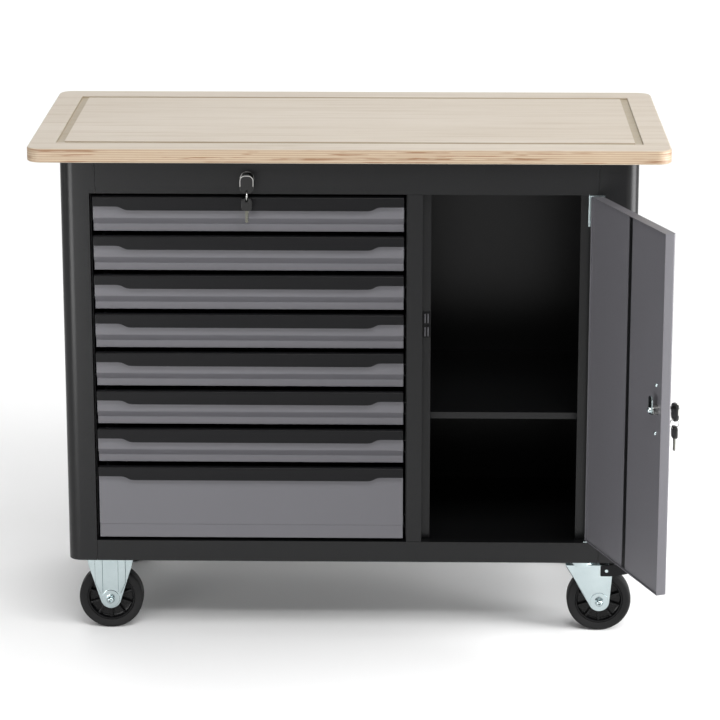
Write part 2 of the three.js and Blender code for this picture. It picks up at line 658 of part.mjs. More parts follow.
// Central lock: the crank pin on its plug lifts and lowers a bar whose nibs drop behind each tray's back
const crankLift = CRANK_RADIUS * Math.SQRT1_2;
function makeDrawerLock() {
  const group = new THREE.Group();
  bench.add(group);
  piece('drawer_lock_housing', lockHousing(LOCK_X, LOCK_Z), chrome);
  const crankY = lockBack + FIT;
  const disc = bar('y', [LOCK_X, LOCK_Z], crankY, crankY + CAM_THICK, 2 * CRANK_RADIUS + CRANK_PIN + 2, 20);
  const pinAt = [LOCK_X + crankLift, LOCK_Z + crankLift];
  const slotFront = crankY + CAM_THICK + 1;
  const pin = bar('y', pinAt, crankY + CAM_THICK / 2, slotFront + BAR_THICK + 1, CRANK_PIN, 12);
  piece('drawer_lock_crank', join(lockPlug(LOCK_X, LOCK_Z), disc, pin), zinc, group);
  makeKeys('drawer', LOCK_X, LOCK_Z, group, group);

  const barX = [LOCK_X + BAR_OFFSET, LOCK_X + BAR_OFFSET + BAR_WIDE];
  const barFront = trayBack + BAR_BEHIND_TRAY;
  const barY = [barFront, barFront + BAR_THICK];
  const slotY = [slotFront, slotFront + BAR_THICK];
  const slotZ = [pinAt[1] - CRANK_PIN, pinAt[1] + CRANK_PIN];
  const slotPlate = block([LOCK_X - CRANK_PIN, barX[0] + BAR_THICK], slotY, slotZ);
  const pinRoom = CRANK_PIN / 2 + CRANK_PLAY;
  const slot = block([LOCK_X - FIT, LOCK_X + CRANK_RADIUS + CRANK_PIN / 2 + 1],
    [slotY[0] - 1, slotY[1] + 1], [pinAt[1] - pinRoom, pinAt[1] + pinRoom]);
  const arm = block([barX[0], barX[0] + BAR_THICK], [slotY[0], barY[1]], slotZ);
  const lowest = trayTop(drawers.at(-1));
  const upright = block(barX, barY, [lowest - BAR_WIDE, slotZ[1]]);
  const nibs = drawers.map((drawer) => {
    const edge = trayTop(drawer) - TRAY_BACK_LOWER + NIB_CLEAR;
    const nibBack = trayBack - 2 * TRAY_SHEET - 1;
    const nibTop = edge + NIB_DROP;
    const tab = block(barX, [nibBack - BAR_THICK, barY[0] + BAR_THICK / 2], [nibTop, nibTop + BAR_THICK]);
    const nib = block(barX, [nibBack - BAR_THICK, nibBack], [edge, nibTop + BAR_THICK / 2]);
    return join(tab, nib);
  });
  piece('lock_bar', join(cut(slotPlate, slot), arm, upright, ...nibs), zinc);

  const guide = foldedSheet([
    [barX[0] - FIT, barY[0] - SHEET],
    [barX[0] - FIT, BACK_INSIDE - FIT - SHEET],
    [barX[1] + FIT, BACK_INSIDE - FIT - SHEET],
    [barX[1] + FIT, barY[0] - SHEET],
  ], SHEET);
  piece('lock_bar_guide', prism(guide, 'z', FLOOR_TOP + FIT, slotZ[0] - 2 * crankLift - 1), zinc);
}

// Door: a folded pan, closed at the back by an inner panel with a pressed groove, on two corner pins
const hingeX = DOOR_RIGHT - HINGE_FROM_JAMB;
const hingeY = FRONT + HINGE_FROM_FRONT;
const doorX = [DOOR_LEFT + DOOR_GAP, DOOR_RIGHT - DOOR_GAP];
const doorZ = [OPENING_FOOT + DOOR_GAP, OPENING_HEAD - DOOR_GAP];
const doorBack = FRONT + DOOR_THICK;
const doorLockX = doorX[0] + DOOR_LOCK_FROM_EDGE;
const doorLockZ = doorZ[1] - DOOR_LOCK_BELOW_TOP;

function makeDoor() {
  const swing = new THREE.Group();
  swing.position.set(hingeX, hingeY, 0);
  swing.rotation.z = THREE.MathUtils.degToRad(DOOR_OPEN_DEGREES);
  const door = new THREE.Group();
  door.position.set(-hingeX, -hingeY, 0);
  swing.add(door);
  bench.add(swing);

  const lockHole = bar('y', [doorLockX, doorLockZ], FRONT - 1, doorBack + 1, LOCK_BARREL + 2 * FIT, 20);
  const pinHole = bar('z', [hingeX, hingeY], doorZ[0] - 1, doorZ[1] + 1, HINGE_PIN + 4 * FIT, 12);
  const plan = new THREE.Shape();
  const r = DOOR_EDGE_RADIUS;
  plan.moveTo(doorX[1], doorBack);
  plan.lineTo(doorX[0], doorBack);
  plan.absarc(doorX[0] + r, FRONT + r, r, Math.PI, 1.5 * Math.PI);
  plan.absarc(doorX[1] - r, FRONT + r, r, 1.5 * Math.PI, 2 * Math.PI);
  plan.closePath();
  const hollow = block([doorX[0] + SHEET, doorX[1] - SHEET], [FRONT + r, doorBack + 1],
    [doorZ[0] + SHEET, doorZ[1] - SHEET]);
  const skin = block([doorX[0] + r, doorX[1] - r], [FRONT + SHEET, doorBack + 1],
    [doorZ[0] + SHEET, doorZ[1] - SHEET]);
  piece('door_panel', cut(prism(plan, 'z', ...doorZ, 4), hollow, skin, lockHole, pinHole), greyPaint, door);

  const groove = hingeX - DOOR_GROOVE_FROM_HINGE;
  const panelX = [doorX[0] + SHEET + FIT, doorX[1] - SHEET - FIT];
  const flange = doorBack - DOOR_GROOVE_DEEP;
  const inner = foldedSheet([
    [panelX[1], FRONT + r + FIT],
    [panelX[1], doorBack],
    [groove + DOOR_GROOVE_WIDE, doorBack],
    [groove + DOOR_GROOVE_WIDE, flange],
    [groove, flange],
    [groove, doorBack],
    [panelX[0], doorBack],
    [panelX[0], FRONT + r + FIT],
  ], SHEET);
  const innerZ = [doorZ[0] + SHEET + FIT, doorZ[1] - SHEET - FIT];
  const corner = block([hingeX - HINGE_PIN, panelX[1] + 1], [FRONT, hingeY + HINGE_PIN],
    [innerZ[0] - 1, innerZ[1] + 1]);
  piece('door_inner_panel', cut(prism(inner, 'z', ...innerZ), lockHole, corner), greyPaint, door);

  piece('door_lock_housing', lockHousing(doorLockX, doorLockZ), chrome, door);
  const camY = [lockBack + FIT, lockBack + FIT + CAM_THICK];
  const arm = prism(roundedRectangle([doorLockX - CAM_WIDE / 2, doorLockX + CAM_WIDE / 2],
    [doorLockZ - CAM_WIDE / 2, doorLockZ + CAM_REACH], CAM_WIDE / 2.5), 'y', ...camY, 4);
  piece('door_lock_cam', join(lockPlug(doorLockX, doorLockZ), arm), zinc, door);
  makeKeys('door', doorLockX, doorLockZ, door, door);
}

// Hinges: an angle on the jamb above and one on the base rail below, each with a pin into the door
function makeHinges() {
  const jambFace = FRONT + JAMB_RECESS - FIT;
  const earZ = [OPENING_HEAD - FIT - HINGE_PLATE, OPENING_HEAD - FIT];
  const earX = [DOOR_RIGHT - JAMB_WIDE + SHEET, DOOR_RIGHT - SHEET];
  const ear = block(earX, [hingeY - HINGE_PIN, jambFace], earZ);
  const legZ = [earZ[1] - HINGE_LEG, earZ[1]];
  const legEdge = earX[0] + JAMB_WIDE / 2;
  const leg = block([earX[0], legEdge], [jambFace - HINGE_PLATE, jambFace], legZ);
  const rib = block([legEdge - HINGE_PLATE, legEdge], [jambFace - HINGE_RIB, jambFace], legZ);
  const pin = bar('z', [hingeX, hingeY], earZ[0] - PIN_DEPTH, earZ[1] - HINGE_PLATE / 2, HINGE_PIN, 12);
  piece('upper_hinge', join(ear, leg, rib, pin), zinc);

  const footZ = [OPENING_FOOT + FIT, OPENING_FOOT + FIT + HINGE_PLATE];
  const foot = block(earX, [hingeY - HINGE_PIN / 2 - 1, FRONT + FRAME_RETURN - FIT], footZ);
  const stub = bar('z', [hingeX, hingeY], footZ[0] + HINGE_PLATE / 2, footZ[1] + PIN_DEPTH, HINGE_PIN, 12);
  piece('lower_hinge', join(foot, stub), zinc);
}

// Double magnetic catch on the strike flange, with upright pole plates
function makeCatch() {
  const face = FRONT + STRIKE_RECESS - FIT;
  const faceY = [doorBack + 2 * FIT, face];
  const x = [DOOR_LEFT + FIT + 1, DOOR_LEFT + STRIKE_WIDE - 1];
  const z = [CABINET_FOOT + CATCH_FOOT, CABINET_FOOT + CATCH_FOOT + CATCH_TALL];
  const middle = (z[0] + z[1]) / 2;
  const body = block(x, [faceY[0] + 1, faceY[1]], z);
  const waist = block([x[0] + POLE_EDGE, x[1] + 1], [faceY[0], faceY[1] - SHEET],
    [middle - CATCH_WAIST / 2, middle + CATCH_WAIST / 2]);
  const halves = [[z[0] + POLE_EDGE, middle - CATCH_WAIST], [middle + CATCH_WAIST, z[1] - POLE_EDGE]];
  const poles = halves.flatMap((reach) => [x[0] + POLE_EDGE, x[1] - POLE_EDGE - POLE_THICK].map((at) =>
    block([at, at + POLE_THICK], [faceY[0], faceY[1] - 1], reach)));
  piece('door_catch', join(cut(body, waist), ...poles), gripPlastic);
}

// Casters
const axleZ = WHEEL / 2;
const plateZ = [CASTER_TALL - FIT - PLATE_THICK, CASTER_TALL - FIT];
const rimRadius = WHEEL / 2 - TYRE_DEEP;

// A closed ring turned round the wheel axle, its facets level with the ground
function turned(profile, x, y) {
  const grow = 1 / Math.cos(Math.PI / WHEEL_SIDES);
  const closed = [...profile, profile[0]];
  const points = closed.map(([radius, across]) => new THREE.Vector2(radius * grow, across));
  const geometry = new THREE.LatheGeometry(points, WHEEL_SIDES, Math.PI / WHEEL_SIDES);
  geometry.translate(x, y, axleZ);
  return solid(geometry);
}

function makeWheel(name, x, y, group) {
  const half = TREAD / 2;
  const tyre = turned([
    [rimRadius + FIT, -half + TYRE_DISH],
    [WHEEL / 2 - TYRE_SHOULDER, -half],
    [WHEEL / 2, -half + TYRE_SHOULDER],
    [WHEEL / 2, half - TYRE_SHOULDER],
    [WHEEL / 2 - TYRE_SHOULDER, half],
    [rimRadius + FIT, half - TYRE_DISH],
  ], x, y);
  piece(`${name}_tyre`, tyre, rubber, group);

  const bore = AXLE / 2 + FIT;
  const hub = HUB_DIAMETER / 2;
  const web = RIM_WEB / 2;
  const edge = half - RIM_RECESS;
  const flange = rimRadius - RIM_FLANGE;
  const ring = turned([
    [bore, -HUB_WIDE / 2],
    [hub, -HUB_WIDE / 2],
    [hub, -web],
    [flange, -web],
    [flange, -edge],
    [rimRadius, -edge],
    [rimRadius, edge],
    [flange, edge],
    [flange, web],
    [hub, web],
    [hub, HUB_WIDE / 2],
    [bore, HUB_WIDE / 2],
  ], x, y);
  const ribs = [];
  for (let i = 0; i < RIM_RIBS; i += 1) {
    const rib = new THREE.BoxGeometry(flange - hub + RIM_RIB, 2 * (edge - RIM_RECESS), RIM_RIB);
    rib.translate((flange + hub) / 2, 0, 0);
    rib.rotateY(((i + 0.5) / RIM_RIBS) * 2 * Math.PI);
    rib.translate(x, y, axleZ);
    ribs.push(solid(rib));
  }
  piece(`${name}_rim`, join(ring, ...ribs), rimPlastic, group);
}

// The angle at which a straight flank from a point meets a round lobe about the axle
function flankAngle(u, v, side) {
  return Math.atan2(v, u) + side * Math.acos(FORK_LOBE / Math.hypot(u, v));
}

// Closes a cheek's outline round the axle, from its left flank to its right one
function addLobe(shape, x, [leftU, leftV], [rightU, rightV]) {
  const start = flankAngle(leftU, leftV, 1);
  const end = flankAngle(rightU, rightV, -1) + 2 * Math.PI;
  shape.lineTo(x + FORK_LOBE * Math.cos(start), axleZ + FORK_LOBE * Math.sin(start));
  shape.absarc(x, axleZ, FORK_LOBE, start, end);
}

// The axle bolt, with a raised pad under each head
function axleBolt(x, y) {
  const out = FORK_INSIDE / 2 + FORK_SHEET;
  const shaft = bar('y', [x, axleZ], y - out - 1, y + out + 1, AXLE, 16);
  const ends = [-1, 1].flatMap((side) => {
    const from = y + side * (out - 1);
    const reach = (tall) => [from, y + side * (out + tall)].sort((a, b) => a - b);
    return [
      bar('y', [x, axleZ], ...reach(AXLE_PAD_TALL), AXLE_PAD, 18),
      bar('y', [x, axleZ], ...reach(AXLE_HEAD_TALL), AXLE_HEAD, 6),
    ];
  });
  return join(shaft, ...ends);
}

// A caster plate with its four bolt holes
function topPlate(x, y) {
  const [dx, dy] = [PLATE_LONG / 2 - PLATE_HOLE_EDGE, PLATE_WIDE / 2 - PLATE_HOLE_EDGE];
  const holes = [[-dx, -dy], [dx, -dy], [-dx, dy], [dx, dy]].map(([px, py]) =>
    bar('z', [x + px, y + py], plateZ[0] - 1, plateZ[1] + 1, PLATE_HOLE, 10));
  const plate = prism(roundedRectangle([x - PLATE_LONG / 2, x + PLATE_LONG / 2],
    [y - PLATE_WIDE / 2, y + PLATE_WIDE / 2], PLATE_CORNER), 'z', ...plateZ, 3);
  return cut(plate, ...holes);
}

// A pair of plates at the wheel's two sides
function pair(shape, y, thick = FORK_SHEET, out = 0) {
  const inside = FORK_INSIDE / 2 + out;
  return [
    prism(shape, 'y', y - inside - thick, y - inside, 9),
    prism(shape, 'y', y + inside, y + inside + thick, 9),
  ];
}

// Fixed caster: the cheeks flare out under the plate, and each has two pressed ribs above the axle
function makeFixedCaster(name, x, y) {
  const top = plateZ[0] + 1;
  const shoulderZ = axleZ + FORK_SHOULDER_UP;
  const [flare, shoulder] = [FORK_FLARE_WIDE / 2, FORK_TOP_WIDE / 2];
  const cheek = new THREE.Shape();
  cheek.moveTo(x - flare, top);
  cheek.quadraticCurveTo(x - shoulder - 1, shoulderZ + FORK_FLARE_TALL, x - shoulder, shoulderZ);
  addLobe(cheek, x, [-shoulder, FORK_SHOULDER_UP], [shoulder, FORK_SHOULDER_UP]);
  cheek.lineTo(x + shoulder, shoulderZ);
  cheek.quadraticCurveTo(x + shoulder + 1, shoulderZ + FORK_FLARE_TALL, x + flare, top);
  cheek.closePath();
  const ribs = [-1, 1].flatMap((side) => {
    const at = (u, z) => [x + side * u, z];
    const [near, far] = [FORK_RIB_FROM_MIDDLE, FORK_RIB_FROM_MIDDLE + FORK_RIB];
    const rib = outline([
      at(near, top),
      at(near, axleZ + FORK_RIB_FOOT),
      at(FORK_LOBE, axleZ + FORK_RIB_FOOT - 3),
      at(far, axleZ + FORK_SHOULDER_UP / 2),
      at(far, top),
    ]);
    return pair(rib, y, FORK_RIB_PROUD + 1, FORK_SHEET - 1);
  });
  piece(`${name}_fork`, join(topPlate(x, y), ...pair(cheek, y), ...ribs, axleBolt(x, y)), zinc);
  makeWheel(name, x, y, bench);
}

// Swivel caster: a plate with the upper race, a trailing fork that turns under it, and a brake lever
function makeSwivelCaster(name, x, y) {
  const wheelX = x + SWIVEL_TRAIL;
  const ringZ = [plateZ[0] - SWIVEL_RING_TALL, plateZ[0]];
  const split = ringZ[0] + SWIVEL_RING_TALL / 2;
  const king = bar('z', [x, y], ringZ[0] - 2, plateZ[0] + 1, KING_PIN, 12);
  const race = bar('z', [x, y], split + FIT, plateZ[0] + 1, SWIVEL_RING, 20);
  piece(`${name}_plate`, join(topPlate(x, y), race, king), zinc);

  const crownZ = [ringZ[0] - FORK_SHEET, ringZ[0]];
  const crownTop = crownZ[1] - axleZ;
  const notchFoot = BRAKE_PIVOT_Z - BRAKE_TALL / 2;
  const group = new THREE.Group();
  bench.add(group);
  const cheek = new THREE.Shape();
  const heel = SWIVEL_TRAIL + SWIVEL_RING / 2;
  cheek.moveTo(wheelX - heel, crownZ[1]);
  addLobe(cheek, wheelX, [-heel, crownTop], [SWIVEL_TOE, notchFoot]);
  cheek.lineTo(wheelX + SWIVEL_TOE, axleZ + notchFoot);
  cheek.lineTo(wheelX + BRAKE_PIVOT_X, crownZ[1]);
  cheek.closePath();
  const width = FORK_INSIDE / 2 + FORK_SHEET;
  const crown = block([wheelX - heel, wheelX], [y - width, y + width], crownZ);
  const dish = bar('z', [x, y], crownZ[0], split, SWIVEL_RING - 4, 20);
  const kingHole = bar('z', [x, y], crownZ[0] - 1, split + 1, KING_PIN + 2 * FIT, 12);
  const pivot = [wheelX + BRAKE_PIVOT_X, axleZ + BRAKE_PIVOT_Z];
  const leverFace = width + 2 * FIT + BRAKE_SIDE;
  const pivots = [-1, 1].map((side) => {
    const ends = [y + side * (FORK_INSIDE / 2 + 1), y + side * (leverFace + 1)];
    return bar('y', pivot, ...ends.sort((a, b) => a - b), BRAKE_PIN, 10);
  });
  const body = cut(join(crown, dish), kingHole);
  piece(`${name}_fork`, join(body, ...pair(cheek, y), axleBolt(wheelX, y), ...pivots), zinc, group);
  makeWheel(name, wheelX, y, group);

  // The lever's two sides lie outside the fork, and a pedal joins them past its toe
  const half = BRAKE_TALL / 2;
  const tip = [[BRAKE_REACH, 2], [BRAKE_REACH + 2, -3], [BRAKE_REACH - 3, -6]];
  const at = ([u, v]) => [pivot[0] + u, pivot[1] + v];
  const sides = outline([[-half, -half], [PEDAL_FROM, -half], ...[...tip].reverse(), [PEDAL_FROM, half],
    [3 - half, half], [-half, half - 4]].map(at));
  const pedal = outline([[PEDAL_FROM, -SHOE_DROP], ...[...tip].reverse(), [PEDAL_FROM, half]].map(at));
  const lever = join(...pair(sides, y, BRAKE_SIDE, FORK_SHEET + 2 * FIT),
    prism(pedal, 'y', y - leverFace, y + leverFace));
  const bore = bar('y', pivot, y - leverFace - 1, y + leverFace + 1, BRAKE_PIN + 2 * FIT, 10);
  piece(`${name}_brake`, cut(lever, bore), gripPlastic, group);
}

function makeCasters() {
  const rows = [['front', FRONT + CASTER_FROM_FRONT], ['rear', BACK - CASTER_FROM_BACK]];
  rows.forEach(([row, y]) => {
    makeFixedCaster(`fixed_caster_${row}`, LEFT + CASTER_FROM_LEFT, y);
    makeSwivelCaster(`swivel_caster_${row}`, RIGHT - CASTER_FROM_RIGHT, y);
  });
}

makeWorktop();
makeSides();
makeCabinet();
makeDrawers();
makeRacks();
makeDrawerLock();
makeDoor();
makeHinges();
makeCatch();
makeCasters();

// The origin is the middle of the ground under the bench
const extent = new THREE.Box3().setFromObject(bench, true);
const centre = extent.getCenter(new THREE.Vector3());
bench.position.set(-centre.x, -centre.y, -extent.min.z);

export default bench;
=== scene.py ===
# %% [markdown]
# # A mobile workshop bench
# The bench is a plywood top on a folded steel cabinet, with a bank of drawers on the left, a cupboard
# with one door on the right, and four casters. The measured frame already holds every rigid piece at
# its real size. This lesson dresses it: rolled edges, turned wheels, locks and screws, and a
# procedural finish for every surface.

# %% The frame
import json
import math

import bmesh
import bpy
from mathutils import Matrix, Vector


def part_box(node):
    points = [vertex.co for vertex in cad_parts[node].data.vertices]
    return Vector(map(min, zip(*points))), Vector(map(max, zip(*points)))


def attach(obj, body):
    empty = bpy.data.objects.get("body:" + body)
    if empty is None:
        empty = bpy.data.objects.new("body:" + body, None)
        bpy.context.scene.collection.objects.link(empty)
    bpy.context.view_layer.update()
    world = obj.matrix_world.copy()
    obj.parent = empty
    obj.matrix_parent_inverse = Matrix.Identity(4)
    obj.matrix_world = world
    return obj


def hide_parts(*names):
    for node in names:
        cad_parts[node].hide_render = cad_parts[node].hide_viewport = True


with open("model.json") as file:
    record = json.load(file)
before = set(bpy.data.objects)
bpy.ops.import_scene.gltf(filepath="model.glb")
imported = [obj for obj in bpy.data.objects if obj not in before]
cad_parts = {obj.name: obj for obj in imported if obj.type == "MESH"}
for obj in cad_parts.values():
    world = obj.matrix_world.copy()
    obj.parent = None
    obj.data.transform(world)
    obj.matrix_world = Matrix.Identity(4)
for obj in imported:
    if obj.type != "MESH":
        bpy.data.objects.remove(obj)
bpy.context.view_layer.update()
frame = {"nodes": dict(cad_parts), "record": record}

MM = 0.001

# %% [markdown]
# ## Camera first
# The photograph was taken from far in front and a little above, so that the worktop shows as a thin
# trapezium and the uprights stay nearly parallel. A long lens a few metres away gives that. A wide
# lens close by would splay the legs.

# %% Camera
CAMERA_AT = Vector((0.1227, -5.7785, 2.1056))
CAMERA_TILT = 0.2665
CAMERA_PAN = 0.0185
CAMERA_LENS = 154.46
SENSOR_WIDE = 36.0
SEES_TO = 100.0

camera_data = bpy.data.cameras.new("photo_camera")
camera_data.lens = CAMERA_LENS
camera_data.sensor_width = SENSOR_WIDE
camera_data.clip_end = SEES_TO
camera = bpy.data.objects.new("photo_camera", camera_data)
camera.location = CAMERA_AT
camera.rotation_euler = (math.pi / 2 - CAMERA_TILT, 0.0, CAMERA_PAN)
bpy.context.scene.collection.objects.link(camera)
bpy.context.scene.camera = camera
print("camera at", tuple(CAMERA_AT))

# %% [markdown]
# ## Floor
# The bench stands on white paper that runs up into a white wall. A flat floor alone would show a
# horizon in low views. So a floor and a wall are extruded from three points, and the edge between
# them is bevelled so widely that no corner is left to see.

# %% Floor
FLOOR_FRONT = 9.0
FLOOR_SIDE = 30.0
SWEEP_BACK = 6.0
SWEEP_HIGH = 7.0
SWEEP_RADIUS = 2.5
SWEEP_STEPS = 16
FLOOR_TONE = (0.91, 0.91, 0.91, 1.0)
FLOOR_ROUGH = 0.9


def bevel(bm, edges, width, steps):
    """Rolls edges over. The operator's own defaults differ from the editor's, so all are given."""
    bmesh.ops.bevel(bm, geom=edges, offset=width, offset_type="OFFSET", affect="EDGES",
                    segments=steps, profile=0.5, material=-1, clamp_overlap=False)


def new_material(name):
    """A material and its Principled shader."""
    material = bpy.data.materials.new(name)
    material.use_nodes = True
    return material, material.node_tree.nodes["Principled BSDF"]


def make_floor():
    """Floor and wall in one sweep, on no body of the bench."""
    bm = bmesh.new()
    path = ((-FLOOR_FRONT, 0.0), (SWEEP_BACK, 0.0), (SWEEP_BACK, SWEEP_HIGH))
    line = [bm.verts.new((-FLOOR_SIDE, y, z)) for y, z in path]
    edges = [bm.edges.new(pair) for pair in zip(line, line[1:])]
    made = bmesh.ops.extrude_edge_only(bm, edges=edges)["geom"]
    moved = [item for item in made if isinstance(item, bmesh.types.BMVert)]
    bmesh.ops.translate(bm, verts=moved, vec=(2 * FLOOR_SIDE, 0, 0))
    bevel(bm, [edge for edge in bm.edges if edge.is_manifold], SWEEP_RADIUS, SWEEP_STEPS)
    bmesh.ops.recalc_face_normals(bm, faces=bm.faces)
    for face in bm.faces:
        face.smooth = True
    mesh = bpy.data.meshes.new("studio_floor")
    bm.to_mesh(mesh)
    bm.free()
    material, shader = new_material("studio_white")
    shader.inputs["Base Color"].default_value = FLOOR_TONE
    shader.inputs["Roughness"].default_value = FLOOR_ROUGH
    mesh.materials.append(material)
    floor = bpy.data.objects.new("studio_floor", mesh)
    bpy.context.scene.collection.objects.link(floor)
    return floor


print("floor faces:", len(make_floor().data.polygons))

# %% [markdown]
# ## Lamps
# Lamps with broad faces give the soft shadows of a studio. Most of the light comes from above, so the
# pressed creases that look down stay darker than the bands beside them. The two cards stand low at
# the sides for the rounded front corners, which pick them up as long soft highlights. The wall and
# the floor in front have lamps of their own, which keep the ground white without washing out the
# black paint.

# %% Lamps
MIDDLE = (0.0, 0.0, 0.5)
LEFT_CORNER = (-0.54, -0.3, 0.5)
RIGHT_CORNER = (0.535, -0.12, 0.9)
WALL_FOOT = (0.0, 5.8, 1.2)
FRONT_FLOOR = (0.0, -7.2, 0.0)
# name: where it stands, what it points at, width and height, watts
LAMPS = {
    "key_lamp": ((0.9, -3.2, 4.2), MIDDLE, (3.0, 1.8), 140),
    "top_lamp": ((0.0, 0.6, 4.6), MIDDLE, (4.0, 3.0), 32),
    "left_lamp": ((-2.7, -4.4, 1.6), MIDDLE, (0.8, 2.0), 12),
    "left_card": ((-1.69, -2.29, 0.3), LEFT_CORNER, (1.2, 0.6), 25),
    "left_strip": ((-3.2, -0.6, 1.4), MIDDLE, (0.5, 2.4), 10),
    "right_lamp": ((3.3, -1.0, 1.5), MIDDLE, (2.0, 2.4), 122),
    "right_card": ((1.85, -0.35, 0.5), RIGHT_CORNER, (1.0, 0.6), 16),
    "wall_lamp": ((0.0, 2.6, 5.6), WALL_FOOT, (7.0, 1.0), 200),
    "front_floor_lamp": ((0.0, -5.2, 5.0), FRONT_FLOOR, (8.0, 1.0), 200),
}


def soft_lamp(name, at, target, size, watts):
    """A rectangular lamp that lights the scene and stays out of the picture."""
    data = bpy.data.lights.new(name, "AREA")
    data.shape = "RECTANGLE"
    data.size, data.size_y = size
    data.energy = watts
    lamp = bpy.data.objects.new(name, data)
    lamp.location = at
    lamp.visible_camera = False
    lamp.rotation_euler = (Vector(target) - Vector(at)).to_track_quat("-Z", "Y").to_euler()
    bpy.context.scene.collection.objects.link(lamp)


for lamp_name, lamp_values in LAMPS.items():
    soft_lamp(lamp_name, *lamp_values)
print("lamps:", sorted(LAMPS))

# %% [markdown]
# ## Node helpers: sums, ranges and mixes
# A node material is a chain of small steps. Written out with every node and link it soon hides what
# it does. These helpers each add one node, feed it numbers or the outputs of other nodes, and hand
# back its result, so that a finish reads like a recipe.

# %% Sums, ranges and mixes
# The Mix node has sockets for every kind of data. These are the places of its colour sockets.
MIX_FIRST, MIX_SECOND, MIX_RESULT = 6, 7, 2


def feed(tree, value, socket):
    """Puts a constant, or the output of another node, into a socket."""
    if isinstance(value, bpy.types.NodeSocket):
        tree.links.new(value, socket)
    else:
        socket.default_value = value


def ranged(tree, source, low, high, to_low=0.0, to_high=1.0):
    """Spreads what lies between low and high over another range, and stops at its ends."""
    spread = tree.nodes.new("ShaderNodeMapRange")
    values = {"Value": source, "From Min": low, "From Max": high, "To Min": to_low, "To Max": to_high}
    for label, value in values.items():
        feed(tree, value, spread.inputs[label])
    return spread.outputs["Result"]


def mixed(tree, factor, first, second):
    """The colour between two colours."""
    mix = tree.nodes.new("ShaderNodeMix")
    mix.data_type = "RGBA"
    feed(tree, factor, mix.inputs["Factor"])
    feed(tree, first, mix.inputs[MIX_FIRST])
    feed(tree, second, mix.inputs[MIX_SECOND])
    return mix.outputs[MIX_RESULT]


def worked_out(tree, kind, first, second=0.0):
    """The result of one sum, such as ADD or MULTIPLY."""
    step = tree.nodes.new("ShaderNodeMath")
    step.operation = kind
    feed(tree, first, step.inputs[0])
    feed(tree, second, step.inputs[1])
    return step.outputs[0]


print("helpers: feed, ranged, mixed, worked_out")

# %% [markdown]
# ## Node helpers: noise and relief
# Grain, pebbles and flecks are all noise at some scale. Modelling them would take millions of faces.
# A bump leaves the mesh as it is and only tilts the light, which is enough for marks that are finer
# than a hair.

# %% Noise and relief


def noise(tree, vector, scale, detail, rough=0.5):
    """Cloudy noise from 0 to 1."""
    cloud = tree.nodes.new("ShaderNodeTexNoise")
    values = {"Vector": vector, "Scale": scale, "Detail": detail, "Roughness": rough}
    for label, value in values.items():
        feed(tree, value, cloud.inputs[label])
    return cloud.outputs["Fac"]


def relief(tree, height, strength, distance):
    """A normal that makes a height look raised."""
    bump = tree.nodes.new("ShaderNodeBump")
    bump.inputs["Strength"].default_value = strength
    bump.inputs["Distance"].default_value = distance
    tree.links.new(height, bump.inputs["Height"])
    return bump.outputs["Normal"]


print("helpers: noise, relief")

# %% [markdown]
# ## Sky
# A weak, even white sky fills the shadows. A strong one would grey the black paint. So the sky is
# weak for the light that falls on the bench and brighter where the camera looks straight at it,
# above the wall.

# %% Sky
SKY_LIGHT = 0.18
SKY_SEEN = 0.80
WHITE = (1.0, 1.0, 1.0, 1.0)

world = bpy.data.worlds.new("studio_sky")
world.use_nodes = True
sky = world.node_tree
sky.nodes["Background"].inputs["Color"].default_value = WHITE
seen = sky.nodes.new("ShaderNodeLightPath").outputs["Is Camera Ray"]
strength = ranged(sky, seen, 0.0, 1.0, SKY_LIGHT, SKY_SEEN)
sky.links.new(strength, sky.nodes["Background"].inputs["Strength"])
bpy.context.scene.world = world
bpy.context.scene.view_settings.view_transform = "Standard"
print("sky:", SKY_LIGHT, "on the bench,", SKY_SEEN, "in the picture")

# %% [markdown]
# ## One skin for paint, zinc and plastic
# Powder coat, zinc and moulded plastic all need the same two things: a slow drift of tone over the
# panel and a fine pebbled skin. Each material could build both for itself. One node group makes them
# once, and each material places it with its own values.

# %% Pebbled skin
COLOUR = "NodeSocketColor"
FLOAT = "NodeSocketFloat"
SKIN_INPUTS = {
    "Light": (COLOUR, (0.5, 0.5, 0.5, 1.0)),
    "Dark": (COLOUR, (0.4, 0.4, 0.4, 1.0)),
    "Drift": (FLOAT, 4.0),
    "Pebble": (FLOAT, 900.0),
    "Smooth": (FLOAT, 0.35),
    "Rough": (FLOAT, 0.5),
}
SKIN_OUTPUTS = {"Color": COLOUR, "Roughness": FLOAT, "Height": FLOAT}
DRIFT_DETAIL = 3.0
PEBBLE_DETAIL = 2.0
PEBBLE_LOW, PEBBLE_HIGH = 0.3, 0.7


def make_skin():
    """Tone drift and a fine pebbled skin, read from Object coordinates in metres."""
    tree = bpy.data.node_groups.new("pebbled_skin", "ShaderNodeTree")
    for label, (kind, value) in SKIN_INPUTS.items():
        socket = tree.interface.new_socket(label, in_out="INPUT", socket_type=kind)
        socket.default_value = value
    for label, kind in SKIN_OUTPUTS.items():
        tree.interface.new_socket(label, in_out="OUTPUT", socket_type=kind)
    given = tree.nodes.new("NodeGroupInput").outputs
    out = tree.nodes.new("NodeGroupOutput").inputs
    place = tree.nodes.new("ShaderNodeTexCoord").outputs["Object"]
    drift = noise(tree, place, given["Drift"], DRIFT_DETAIL)
    pebble = noise(tree, place, given["Pebble"], PEBBLE_DETAIL)
    tone = mixed(tree, drift, given["Light"], given["Dark"])
    gloss = ranged(tree, pebble, PEBBLE_LOW, PEBBLE_HIGH, given["Smooth"], given["Rough"])
    tree.links.new(tone, out["Color"])
    tree.links.new(gloss, out["Roughness"])
    tree.links.new(pebble, out["Height"])
    return tree


SKIN = make_skin()
print("skin group:", len(SKIN.nodes), "nodes")

